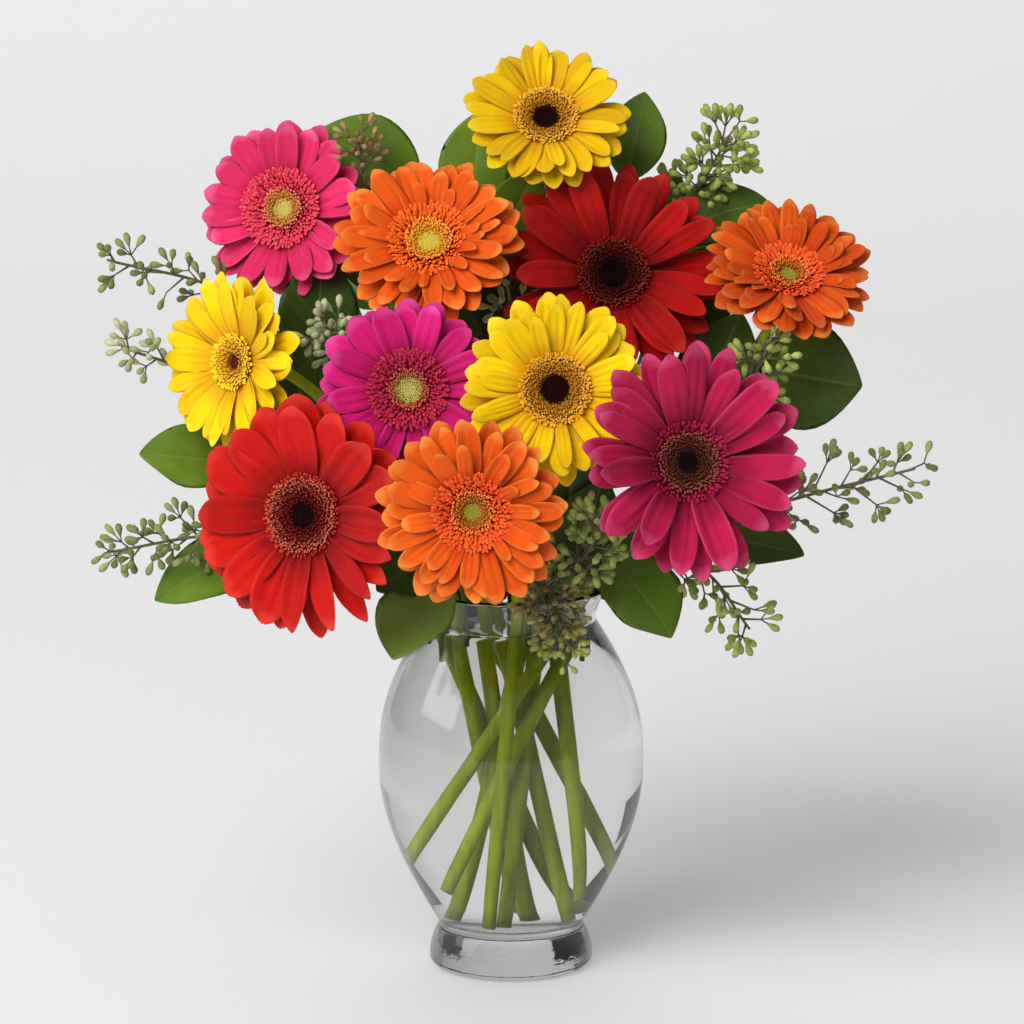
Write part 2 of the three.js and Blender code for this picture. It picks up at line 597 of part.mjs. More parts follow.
// Side twig: it leaves the main twig at a slant and ends in three seeds, one ahead and two aside
function sideTwig(root, along, turn, reach) {
  const first = along.clone().cross(vector([0.3, 0.2, 1])).normalize();
  const second = along.clone().cross(first).normalize();
  const outward = first.multiplyScalar(Math.cos(turn)).addScaledVector(second, Math.sin(turn));
  const way = along.clone().multiplyScalar(0.75).add(outward).normalize();
  const across = way.clone().cross(along).normalize();
  const over = way.clone().cross(across);
  const skin = new Skin();
  const [thick, thin] = SIDE_TWIG_RADII;
  const rings = [[0, thick], [reach - KNUCKLE, thin], [reach, thick]].map(([distance, radius]) => {
    const centre = root.clone().addScaledVector(way, distance);
    return skin.ring([0, 1, 2].map((k) => {
      const angle = (k * Math.PI * 2) / 3;
      return centre.clone().addScaledVector(across, Math.cos(angle) * radius)
        .addScaledVector(over, Math.sin(angle) * radius);
    }));
  });
  skin.close(rings[0], false);
  skin.bridge(rings[0], rings[1]);
  const [low, high] = [rings[1], rings[2]];
  const end = root.clone().addScaledVector(way, reach);
  [0, 1, 2].forEach((k) => {
    const next = (k + 1) % 3;
    skin.faces.push(low[k], high[next], high[k]);
    const triangle = [low[k], low[next], high[next]];
    if (k === 2) {
      skin.faces.push(...triangle);
      return;
    }
    const angle = ((k + 0.5) * Math.PI * 2) / 3;
    const aside = way.clone().multiplyScalar(0.9)
      .addScaledVector(across, Math.cos(angle)).addScaledVector(over, Math.sin(angle)).normalize();
    const start = triangle.reduce((sum, corner) => sum.add(skin.pointAt(corner)), vector([0, 0, 0]));
    growSeed(skin, triangle, start.divideScalar(3), aside);
  });
  growSeed(skin, high, end, way);
  return toSolid(skin.geometry());
}

function isClear(piece, others, distance) {
  const box = piece.boundingBox();
  return others.every((other) => {
    const apart = other.box.min.some((low, k) => low > box.max[k] + distance)
      || other.box.max.some((high, k) => high < box.min[k] - distance);
    return apart || piece.minGap(other.solid, distance) >= distance;
  });
}

// Spray: side twigs at a golden angle up the outer stretch, left out where they would touch
function makeSpray(plant, others) {
  const { cut, outside } = twigLine(plant);
  const points = [cut, ...outside.getSpacedPoints(TWIG_STEPS)];
  const radii = points.map((point, k) => TWIG_RADIUS - 0.09 * k);
  const parts = [toSolid(tube(points, radii, TWIG_SIDES))];
  for (let k = 0; k < plant.twigs; k += 1) {
    const share = plant.from + (1 - plant.from) * (k / (plant.twigs - 1));
    const root = outside.getPointAt(share);
    const along = outside.getTangentAt(share);
    const reach = plant.reach * (k === plant.twigs - 1 ? 0.5 : 0.8 + 0.4 * draw(k * 7 + plant.slot));
    const twig = sideTwig(root, along, k * GOLDEN_ANGLE + plant.slot, reach);
    if (isClear(twig, others, SPRAY_CLEARANCE)) parts.push(twig);
  }
  return fused(parts);
}

// The whole part
const part = new THREE.Group();
const placed = [];

function place(mesh) {
  mesh.updateWorldMatrix(true, false);
  const solid = toSolid(mesh.geometry.clone().applyMatrix4(mesh.matrixWorld));
  placed.push({ name: mesh.name, solid, box: solid.boundingBox() });
}

part.add(named("vase", makeVase(), material("glass", 0.05)));
place(part.children[0]);

BLOOMS.forEach((bloom, k) => {
  bloom.seed = 100 * (k + 1);
  const head = makeBloom(bloom);
  part.add(head);
  head.children.forEach(place);
  const stem = named(`stem_${bloom.name}`, makeStem(bloom), material("stem"));
  part.add(stem);
  place(stem);
});

LEAFY_STEMS.forEach((plant) => {
  const stem = named(plant.name, toGeometry(makeLeafyStem(plant)), material("leaf"));
  part.add(stem);
  place(stem);
});

SPRAYS.forEach((plant) => {
  const spray = named(plant.name, toGeometry(makeSpray(plant, placed)), material(plant.colour, 0.8));
  part.add(spray);
  place(spray);
});

const holes = BLOOMS.map((bloom) => {
  const { foot, neck } = stemLine(bloom);
  return stemHole(foot, neck, STEM_RADIUS, STEM_SIDES);
});
[...LEAFY_STEMS, ...SPRAYS].forEach((plant) => {
  const { cut, neck } = twigLine(plant);
  holes.push(stemHole(cut, neck, TWIG_RADIUS, TWIG_SIDES));
});
part.add(named("water", makeWater(holes), material("water", 0.05)));

export default part;
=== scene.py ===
# %% [markdown]
# # Gerberas in a glass vase
# The part comes as a frame of plain solids in metres, with +Z up and the blooms facing -Y.
# Each cell below replaces some of those solids with a finer surface in the same place, worked out as
# a whole array of points by numpy, and gives it a finish that is made of shader nodes.
# First the frame is loaded, and its solids are set in world coordinates.

# %% Load the frame
import math
from functools import partialmethod

import bpy
import numpy as np
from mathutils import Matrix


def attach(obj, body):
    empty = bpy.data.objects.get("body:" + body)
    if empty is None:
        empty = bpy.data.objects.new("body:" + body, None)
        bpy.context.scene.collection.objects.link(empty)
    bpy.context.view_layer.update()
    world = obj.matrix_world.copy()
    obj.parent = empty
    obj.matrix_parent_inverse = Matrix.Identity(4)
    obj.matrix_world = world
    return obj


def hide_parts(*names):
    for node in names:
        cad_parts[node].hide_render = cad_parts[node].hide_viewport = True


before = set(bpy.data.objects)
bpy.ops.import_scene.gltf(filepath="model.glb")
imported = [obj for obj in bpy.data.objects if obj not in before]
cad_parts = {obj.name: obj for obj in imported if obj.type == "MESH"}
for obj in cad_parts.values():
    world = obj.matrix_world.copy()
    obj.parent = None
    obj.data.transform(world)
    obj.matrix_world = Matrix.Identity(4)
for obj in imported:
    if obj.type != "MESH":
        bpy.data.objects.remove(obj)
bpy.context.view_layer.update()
MM = 0.001

# %% [markdown]
# ## Camera
# The photograph was taken from a little above, with a long lens. The viewing angle comes from how
# open the ellipses of the lip and of the foot look. The camera is made first, because every other
# choice is judged through it.

# %% Make the camera
CAMERA_DISTANCE = 2.6
CAMERA_HEIGHT = 0.76
CAMERA_PITCH = 11.4836
CAMERA_LENS = 186.94
CAMERA_ASIDE = 0.0005


def link(name, data):
    """A new object with that data, in the scene."""
    made = bpy.data.objects.new(name, data)
    bpy.context.scene.collection.objects.link(made)
    return made


lens = bpy.data.cameras.new("camera")
lens.lens = CAMERA_LENS
lens.sensor_width = 36
lens.clip_end = 50
camera = link("camera", lens)
camera.location = (CAMERA_ASIDE, -CAMERA_DISTANCE, CAMERA_HEIGHT)
camera.rotation_euler = (math.radians(90 - CAMERA_PITCH), 0, 0)
bpy.context.scene.camera = camera
bpy.context.scene.view_settings.view_transform = "Standard"
print("camera", tuple(camera.location), "lens", lens.lens)

# %% [markdown]
# ## Repeatable chance, directions and tables
# No two petals are alike, but the script has to give the same bouquet each time. A fraction of a
# large sine looks random, needs no state, and works on a whole array of whole numbers at once.
# The pieces are listed in tables, whose first line names the columns.


# %% Draws, unit vectors and tables
def draw(number):
    """Repeatable draw from 0 to 1: the fractional part of 43758.5453 sin(12.9898 n + 78.233)."""
    turned = np.sin(np.asarray(number) * 12.9898 + 78.233) * 43758.5453
    return turned - np.floor(turned)


def unit(vectors):
    """Each vector divided by its own length."""
    return vectors / np.linalg.norm(vectors, axis=-1, keepdims=True)


def frames(ways):
    """Two unit vectors square to each way: a helper axis less its share along the way, and the
    cross product of the way with that."""
    helper = np.where(np.abs(ways[..., 2:]) < 0.9, [0.0, 0.0, 1.0], [1.0, 0.0, 0.0])
    across = unit(helper - np.sum(helper * ways, axis=-1, keepdims=True) * ways)
    return across, np.cross(ways, across)


def circle(around):
    """Even angles once round."""
    return np.linspace(0, 2 * np.pi, around, endpoint=False)


def table(columns, *rows):
    """A dictionary for each row, by the names of the columns. A row may end with a dictionary of
    what only it has."""
    names = columns.split()
    return [dict(zip(names, row), **dict(*row[len(names):])) for row in rows]


print("five draws", np.round(draw(np.arange(5)), 3))

# %% [markdown]
# ## One way to make every mesh
# A petal, a twig, a seed capsule and a leaf are all a stack of rings, skinned from one to the next
# and closed at both ends. So one class takes rings as an array of copies, stations, points round the
# ring and coordinates, and keeps numbers for the shader at each point. Because the faces come from
# array arithmetic, sixty petals cost no more Python than one.


# %% Stack of rings
def mesh_object(name, points, faces, material):
    """A new mesh object with that material, in the scene."""
    mesh = bpy.data.meshes.new(name)
    mesh.from_pydata(points, [], faces)
    mesh.materials.append(material)
    return link(name, mesh)


class Heap:
    """Closed skins over stacked rings, gathered into one mesh."""

    def __init__(self):
        self.points = []
        self.quads = []
        self.numbers = {"across": [], "along": [], "tone": [], "zone": []}
        self.count = 0

    def add(self, rings, **numbers):
        """Skins rings of (copies, stations, around, 3). A ring runs anticlockwise about the way along,
        and a strip of quads closes the first and the last one, so around is even."""
        copies, stations, around = rings.shape[:3]
        grid = self.count + np.arange(copies * stations * around).reshape(copies, stations, around)
        beside = np.roll(grid, -1, axis=2)
        sides = np.stack([grid[:, :-1], beside[:, :-1], beside[:, 1:], grid[:, 1:]], axis=-1)
        k = np.arange(around // 2 - 1)
        corners = np.stack([k, k + 1, around - 2 - k, around - 1 - k], axis=-1)
        starts = grid[:, 0][:, corners[:, ::-1]]
        ends = grid[:, -1][:, corners]
        self.points.append(rings.reshape(-1, 3))
        self.quads += [part.reshape(-1, 4) for part in (sides, starts, ends)]
        for name, rows in self.numbers.items():
            row = np.broadcast_to(numbers.get(name, 0.0), (copies, stations, around))
            rows.append(row.reshape(-1))
        self.count += copies * stations * around

    def finish(self, name, slot, material, *nodes):
        """Makes the mesh object, which rides on the body, stands for the nodes and prints its size."""
        points = np.concatenate(self.points)
        quads = np.concatenate(self.quads)
        piece = mesh_object(name, points, quads, material)
        piece.data.shade_smooth()
        for key, rows in self.numbers.items():
            layer = piece.data.attributes.new(key, "FLOAT", "POINT")
            layer.data.foreach_set("value", np.concatenate(rows).astype(np.float32))
        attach(piece, "root")
        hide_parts(*nodes)
        a, b, c, d = (points[quads[:, k]] for k in range(4))
        volume = np.sum(np.cross(b - a, c - a) * a + np.cross(c - a, d - a) * a) / 6
        print(f"{name}: {2 * len(quads)} triangles, {volume / MM ** 3 / 1000:.2f} cm3")


# %% [markdown]
# ## Paths and tubes
# Stems and twigs are circles along a path. A path through given points is a centripetal Catmull-Rom curve,
# which never loops between them. The circles are turned by one fixed direction, the one that the path
# keeps furthest from, so the tube can't twist.


# %% Paths, tubes and spindles
def smooth_path(points, steps):
    """Centripetal Catmull-Rom curve: each stretch is a cubic whose end slopes come from its
    neighbours, weighted by the square root of the distances; then steps even distances along it."""
    inner = np.asarray(points, dtype=float)
    ends = [2 * inner[0] - inner[1], 2 * inner[-1] - inner[-2]]
    p = np.vstack([ends[0], inner, ends[1]])
    gaps = np.sqrt(np.linalg.norm(np.diff(p, axis=0), axis=1))[:, None]
    before, here, after = gaps[:-2], gaps[1:-1], gaps[2:]
    p0, p1, p2, p3 = p[:-3], p[1:-2], p[2:-1], p[3:]
    slope1 = ((p1 - p0) / before - (p2 - p0) / (before + here) + (p2 - p1) / here) * here
    slope2 = ((p2 - p1) / here - (p3 - p1) / (here + after) + (p3 - p2) / after) * here
    t = np.linspace(0, 1, 24, endpoint=False)[:, None, None]
    curve = ((2 * t ** 3 - 3 * t ** 2 + 1) * p1 + (t ** 3 - 2 * t ** 2 + t) * slope1
             + (3 * t ** 2 - 2 * t ** 3) * p2 + (t ** 3 - t ** 2) * slope2)
    curve = np.vstack([curve.transpose(1, 0, 2).reshape(-1, 3), inner[-1]])
    run = np.concatenate([[0], np.cumsum(np.linalg.norm(np.diff(curve, axis=0), axis=1))])
    return places(np.linspace(0, run[-1], steps + 1), run, curve)


def places(wanted, run, curve):
    """The points that a curve has where its run, a number at each of its points, is as wanted."""
    return np.stack([np.interp(wanted, run, curve[:, axis]) for axis in range(3)], axis=-1)


def bezier(points, steps):
    """Cubic Bezier curve of four points: the cube of (1 - t + t) multiplied out."""
    t = np.linspace(0, 1, steps + 1)[:, None]
    a, b, c, d = points
    return (1 - t) ** 3 * a + 3 * (1 - t) ** 2 * t * b + 3 * (1 - t) * t ** 2 * c + t ** 3 * d


def round_way(across, over, around):
    """Unit vectors at even angles round a way, from two that are square to it and each other."""
    angle = circle(around)
    return np.cos(angle)[:, None] * across[:, None] + np.sin(angle)[:, None] * over[:, None]


def tube(path, radii, around, ribs=0.0):
    """Circles of the given radii square to the path, each with 1 + ribs cos(3 angle) of its radius."""
    ways = unit(np.gradient(path, axis=0))
    steady = np.linalg.svd(ways)[2][-1]
    across = unit(steady - (ways @ steady)[:, None] * ways)
    reach = np.asarray(radii)[:, None] * (1 + ribs * np.cos(3 * circle(around)))
    return (path[:, None] + reach[..., None] * round_way(across, np.cross(ways, across), around))[None]


def spindles(starts, ways, lengths, profile, around=6):
    """Straight turned bodies, one for each start: circles whose distance and radius the profile
    gives, the distance as a share of the length."""
    share, radius = np.asarray(profile).T
    centre = starts[:, None] + ways[:, None] * (np.asarray(lengths)[:, None] * share)[..., None]
    return centre[:, :, None] + radius[:, None, None] * round_way(*frames(ways), around)[:, None]


def turned(profile, around):
    """Rings of a profile of (radius, height) pairs about the axis."""
    radius, height = np.asarray(profile, dtype=float).T
    angle = circle(around)
    return np.stack([radius[:, None] * np.cos(angle), radius[:, None] * np.sin(angle),
                     height[:, None] + 0 * angle], axis=-1)[None]


# %% [markdown]
# ## Shader sums as Python
# A finish is a web of nodes, and long webs are hard to read as calls. One class wraps an output
# socket, so that a sum of sockets adds its own Math nodes, and one method makes every other node.


# %% Wires and finishes
def tint(red, green, blue):
    """Colour as a screen shows it, from 0 to 255, turned into the linear light that shaders use."""
    share = np.array([red, green, blue]) / 255
    linear = np.where(share < 0.04045, share / 12.92, ((share + 0.055) / 1.055) ** 2.4)
    return (*linear.tolist(), 1.0)


class Wire:
    """An output socket that can be added, multiplied and so on with numbers and other wires."""

    def __init__(self, finish, socket):
        self.finish = finish
        self.socket = socket

    def math(self, operation, *others):
        """A Math node of this wire and the others."""
        values = dict(enumerate([self, *others]))
        return self.finish.node("ShaderNodeMath", {"operation": operation}, values)

    def ramp(self, low, high):
        """0 below low, 1 above high, and a smooth step between."""
        settings = {"interpolation_type": "SMOOTHSTEP"}
        return self.finish.node("ShaderNodeMapRange", settings, {0: self, 1: low, 2: high})

    def __rsub__(self, other):
        return self.finish.node("ShaderNodeMath", {"operation": "SUBTRACT"}, {0: other, 1: self})

    __add__ = __radd__ = partialmethod(math, "ADD")
    __mul__ = __rmul__ = partialmethod(math, "MULTIPLY")
    __sub__ = partialmethod(math, "SUBTRACT")
    __pow__ = partialmethod(math, "POWER")
    __abs__ = partialmethod(math, "ABSOLUTE")
    sine = partialmethod(math, "SINE")
    fraction = partialmethod(math, "FRACT")
    larger = partialmethod(math, "MAXIMUM")


class Finish:
    """A material and the nodes that feed its main shader."""

    def __init__(self, name, **constants):
        self.material = bpy.data.materials.new(name)
        self.material.use_nodes = True
        self.tree = self.material.node_tree
        self.shader = self.tree.nodes["Principled BSDF"]
        for key, value in constants.items():
            self.shader.inputs[key.replace("_", " ")].default_value = value

    def node(self, kind, settings=None, values=None, output=0):
        """Adds a node of that kind, sets what it is and then its sockets, and returns an output."""
        made = self.tree.nodes.new(kind)
        for key, value in (settings or {}).items():
            setattr(made, key, value)
        for key, value in (values or {}).items():
            if isinstance(value, Wire):
                self.tree.links.new(value.socket, made.inputs[key])
            else:
                made.inputs[key].default_value = value
        return Wire(self, made.outputs[output])

    def numbers(self, *names):
        """The numbers that a mesh keeps at each point under those names."""
        return [self.node("ShaderNodeAttribute", {"attribute_name": name}, output="Fac")
                for name in names]

    def noise(self, scale, detail=3.0, stretch=(1, 1, 1)):
        """Noise on the object's own coordinates, from 0 to 1."""
        place = self.node("ShaderNodeTexCoord", output="Object")
        place = self.node("ShaderNodeMapping", values={0: place, 3: stretch})
        return self.node("ShaderNodeTexNoise", values={"Vector": place, "Scale": scale, "Detail": detail})

    def mix(self, first, second, share, blend="MIX"):
        """The first colour where share is 0 and the second, or its blend with it, where it is 1."""
        settings = {"data_type": "RGBA", "blend_type": blend, "clamp_factor": True}
        return self.node("ShaderNodeMix", settings, {0: share, 6: first, 7: second}, output=2)

    def ramp(self, share, stops):
        """Colour of a number by a ramp of stops, each a place from 0 to 1 and a colour."""
        made = self.node("ShaderNodeValToRGB", values={0: share})
        elements = made.socket.node.color_ramp.elements
        while len(elements) < len(stops):
            elements.new(1.0)
        for element, (place, colour) in zip(elements, stops):
            element.position = place
            element.color = colour
        return made

    def bump(self, height, distance, strength=1.0):
        """Normal that a height from 0 to 1 tilts, with the distance that 1 stands for."""
        values = {"Height": height, "Distance": distance, "Strength": strength}
        return self.node("ShaderNodeBump", values=values)

    def feed(self, **wires):
        """Links wires to the main shader's sockets."""
        for key, wire in wires.items():
            self.tree.links.new(wire.socket, self.shader.inputs[key.replace("_", " ")])
        return self.material


# %% [markdown]
# ## Petal finish
# A petal is darker and deeper in hue at its root, partly its own colour and partly painted shade near the
# eye, and lightest along its rim. Fine veins run its whole length, and each petal has its own tone, which
# a bloom's painted shade can lower. All of that follows the petal and not the room, so it reads the
# numbers across and along that the mesh keeps. The soft velvet look is sheen.

# %% Petal finishes
# Root, body and rim colours: the darker root is partly the petal's own colour and partly painted shade
# near the eye.
PETAL_COLOURS = {
    "yellow": [(220, 150, 18), (250, 210, 8), (253, 228, 50)],
    "pink": [(176, 20, 56), (226, 48, 102), (240, 100, 152)],
    "orange": [(196, 46, 14), (231, 93, 22), (246, 148, 64)],
    "red": [(112, 6, 8), (198, 22, 16), (224, 58, 44)],
    "magenta": [(140, 10, 48), (212, 28, 116), (232, 78, 164)],
    "crimson": [(104, 8, 32), (188, 28, 76), (220, 80, 126)],
}
VEINS = 16


def petal_finish(name, colours):
    """Root, body and rim colours by the place along the petal, the root partly its own colour and partly
    painted shade near the eye, with veins as fine lines and bump.
    """
    finish = Finish(f"petal_{name}", Specular_IOR_Level=0.14, Sheen_Weight=0.02, Sheen_Roughness=0.4)
    root, body, rim = (tint(*colour) for colour in colours)
    across, along, tone = finish.numbers("across", "along", "tone")
    cloud = finish.noise(120)
    reach = along + (cloud - 0.5) * 0.3
    # The root colour reaches out to 0.58 of the petal, partly as painted shade near the eye.
    colour = finish.ramp(reach, [(0.15, root), (0.58, body), (0.84, body), (1.0, rim)])
    veins = ((across * (VEINS * math.pi)) + cloud * 4).sine() * 0.5 + 0.5
    deep = tuple(0.62 * value for value in root[:3]) + (1.0,)
    colour = finish.mix(colour, deep, veins ** 3.0 * 0.22)
    colour = finish.mix(colour, rim, abs(across).ramp(0.75, 1.0) * 0.5)
    colour = finish.mix(colour, deep, (1 - tone) * 0.36)
    return finish.feed(
        Base_Color=colour, Roughness=0.42 + cloud * 0.2,
        Normal=finish.bump(veins * 0.7 + cloud * 0.3, 0.25 * MM, 0.5))


petal_finishes = {name: petal_finish(name, colours) for name, colours in PETAL_COLOURS.items()}
print("petal finishes", list(petal_finishes))

# %% [markdown]
# ## The blooms
# A gerbera is a head of many flowers. Its rays are the petals, in two or three whorls. Inside them stand
# short, frilled rays, then open florets with pollen at their tips, and closed buds in the middle. The
# table has one row a bloom: its centre in millimetres, the way it faces in degrees to the right and up,
# its radius, its petal colour, the kind of head that it has, where its stem crosses the neck and where it
# stands, and the side of it that lifts, in degrees, with how far. Some blooms get painted shade, which
# darkens all their petals as if they were less lit, and one droops at a side.

# %% The blooms' table
# Some rows darken their bloom with painted shade, as if it were less lit.
BLOOMS = table(
    "name at turn tilt radius colour head neck foot lift",
    ("yellow_top", (17, -4, 429), 0, 38, 41, "yellow", "golden", (12, 26), (31, -22, 40), (200, 6),
     {"dim": 0.75}),
    ("pink_left", (-112, 8, 383), -20, 16, 44, "pink", "pink", (-20, 27), (43, -2, 51), (90, 4)),
    ("orange_upper", (-40, -30, 372), -4, 34, 46, "orange", "lime", (-8, 13), (23, -5, 27), (0, 6)),
    ("red_upper", (50, -24, 355), 2, 24, 57, "red", "black", (12, 8), (-3, -15, 26), (150, 5),
     {"form": "slim red", "dim": 0.8}),
    ("orange_right", (135, -34, 356), 12, 52, 43, "orange", "green", (34, 4), (-29, -24, 46), (60, 5),
     {"dim": 0.7}),
    ("yellow_left", (-133, -48, 316), -44, 10, 44, "yellow", "maroon", (-33, 4), (21, 24, 30), (0, 3)),
    ("magenta_middle", (-49, -80, 308), -4, 14, 45, "magenta", "magenta", (-13, -7), (6, 20, 27), (30, 5)),
    ("yellow_middle", (21, -100, 312), 0, 10, 45, "yellow", "golden", (8, -13), (-21, 5, 27), (120, 4)),
    ("crimson_right", (84, -114, 279), 8, 14, 57, "crimson", "brown", (26, -22), (-43, -4, 58), (200, 14)),
    ("red_low", (-98, -98, 250), -24, 11, 57, "red", "coral", (-26, -21), (4, 32, 34), (330, 6),
     {"droop": 285}),
    ("orange_low", (-18, -138, 260), -2, 5, 46, "orange", "green", (3, -33), (-10, -27, 27), (20, 6)))
WHORL_SPACING = 3.2
USUAL_RADIUS = 45
PETAL_THICKNESS = 0.7
for number, bloom in enumerate(BLOOMS):
    bloom["seed"] = 1000 * (number + 1)
print(len(BLOOMS), "blooms")


# %% Place a bloom
def facing(bloom):
    """The way the bloom faces, from its two angles."""
    turn, tilt = math.radians(bloom["turn"]), math.radians(bloom["tilt"])
    return np.array([math.sin(turn) * math.cos(tilt), -math.cos(turn) * math.cos(tilt), math.sin(tilt)])


def half_spacing(bloom):
    """Half the way between the two whorls of the frame's own petals."""
    return WHORL_SPACING / 2 * bloom["radius"] / USUAL_RADIUS


def stand(bloom, points):
    """Turns points by the shortest turn that takes +Z to the way the bloom faces, and sets them at
    its centre. The shortest turn's matrix is 1 + K + K K / (1 + cosine), K being the cross product."""
    face = facing(bloom)
    x, y, z = np.cross([0, 0, 1], face)
    cross = np.array([[0, -z, y], [z, 0, -x], [-y, x, 0]])
    turn = np.eye(3) + cross + cross @ cross / (1 + face[2])
    return (points @ turn.T + np.array(bloom["at"])) * MM


# %% [markdown]
# ## A whorl of petals
# A petal is narrow at its root, runs nearly parallel for most of its length and ends round. Two
# grooves part it into three ridges and nick its tip. Its middle line leaves the core at one slope
# and arrives at another, so it arches, and every second petal lies above its neighbours. The whole
# whorl is one array: the shape is a function of across and along, and each petal only has its own
# angle, length, slopes and twist.

# %% Petals as one array
RIDGED = np.array([1, 0.85, 0.67, 0.5, 0.33, 0.17, 0, -0.17, -0.33, -0.5, -0.67, -0.85, -1])
PLAIN = np.array([1, 0.55, 0, -0.55, -1])


def blade(grain):
    """The ring round a thin blade: its places across, over the top and back below, and the side that
    each is on, 1 for the top and -1 for below."""
    top = np.concatenate([np.ones(len(grain)), -np.ones(len(grain) - 2)])
    return np.concatenate([grain, grain[-2:0:-1]]), top


def whorl(bloom, count, root, reach, width, rise, level, seed, grain=RIDGED, stations=13, phase=0.0,
          fold=0.05, loose=1.0, notch=0.012, base=0.42, thick=PETAL_THICKNESS, crease=0.16, keep=1.0,
          point=2.4):
    """Rings of one whorl, in millimetres about the bloom's core, and the numbers that they keep.

    Along the petal v runs from 0 to 1, in steps that get shorter towards the tip, and across it u
    from 1 to -1. The half width is base + (1 - base) sin(pi/2 min(v / 0.6, 1)), times a flattened
    circle over the last 32 percent, whose power is its point. The middle line sums cosine and sine
    of a slope that goes from rise[0] to rise[1] degrees. The section rises by fold at its edges, and
    sinks by crease where 0.5 - 0.5 cos(3 pi u) makes the grooves. Petals on a bloom's drooping side
    are longer, slimmer and more pointed."""
    k = np.arange(count)
    k = k[draw(seed + 5 + 3 * k) < keep]
    chance = [draw(seed + 97 * row + k)[:, None, None] - 0.5 for row in range(9)]
    t = np.linspace(0, 1, stations)[None, :, None]
    v = 1 - (1 - t) ** 1.5
    u, top = blade(grain)
    angle = 2 * np.pi * (k[:, None, None] + phase + 0.4 * loose * chance[0]) / count
    droop = np.clip(np.cos(angle - math.radians(bloom.get("droop", 0))), 0, 1) ** 2
    droop = droop * ("droop" in bloom)
    length = (reach - root) * (1 + 0.12 * loose * chance[1] + 0.1 * droop)
    side_lift, lift = math.radians(bloom["lift"][0]), bloom["lift"][1]
    raised = lift * np.clip(np.cos(angle - side_lift), 0, 1) ** 2
    over = 3.5 * (k[:, None, None] % 2)
    first = np.radians(rise[0] + 7 * loose * chance[2] + raised + over)
    last = np.radians(rise[1] + 24 * loose * chance[3] + raised * 1.5 + over)
    tip = np.clip((v - 0.68) / 0.32, 0, 1)
    half = width / 2 * (1 + 0.24 * loose * chance[4])
    half = half * (base + (1 - base) * np.sin(np.pi / 2 * np.minimum(v / 0.6, 1)))
    half = half * np.sqrt(1 - (0.955 * tip) ** (point - 0.9 * droop)) * (1 - 0.4 * droop)
    slope = first + (last - first) * v ** 1.3
    step = length * np.diff(v, axis=1)
    middle = (slope[:, 1:] + slope[:, :-1]) / 2
    start = np.zeros((len(k), 1, 1))
    out = root + np.concatenate([start, np.cumsum(np.cos(middle) * step, axis=1)], axis=1)
    up = level + np.concatenate([start, np.cumsum(np.sin(middle) * step, axis=1)], axis=1)
    groove = 0.5 - 0.5 * np.cos(3 * np.pi * u) if len(grain) > 5 else 0 * u
    nick = notch * np.exp(-((np.abs(u) - 0.33) / 0.12) ** 2) * v ** 12
    back = length * (nick + 0.03 * u ** 2 * v ** 4 + 0.03 * chance[8] * u * v)
    curl = (fold + 0.3 * loose * chance[5]) * u ** 2 * half * 2 * np.sin(np.pi * v * 0.8)
    ripple = -crease * half * groove * np.sin(np.pi * np.minimum(v + 0.1, 1)) ** 0.6
    body = top * thick / 2 * (1 - 0.75 * u ** 2) * (1 - 0.35 * v)
    height = curl + ripple + body
    aside = u * half
    twist = 0.45 * loose * chance[6] * (0.25 + v ** 1.5)
    aside, height = (aside * np.cos(twist) - height * np.sin(twist),
                     aside * np.sin(twist) + height * np.cos(twist))
    aside = aside + 0.11 * loose * chance[7] * v ** 2 * length
    radial = out - np.sin(slope) * height - np.cos(slope) * back
    axial = up + np.cos(slope) * height - np.sin(slope) * back
    points = np.stack([radial * np.cos(angle) - aside * np.sin(angle),
                       radial * np.sin(angle) + aside * np.cos(angle), axial], axis=-1)
    return points, {"across": u, "along": v, "tone": draw(seed + 1301 + k)[:, None, None]}


# %% [markdown]
# ## Forms of bloom
# The large red and crimson blooms are single: two whorls of long petals, broad in the low red one
# and slim in the others. The yellow ones are fuller, and the orange ones double, with shorter inner
# whorls that stand more upright. A form is a table of whorls, and each row gives a count, the shares
# of the radius where it starts and ends, its breadth as a share of the circle that it fills, its two
# slopes, its level in half spacings, and its turn. Some keep only a share of their petals, have
# more pointed ones, or are looser.

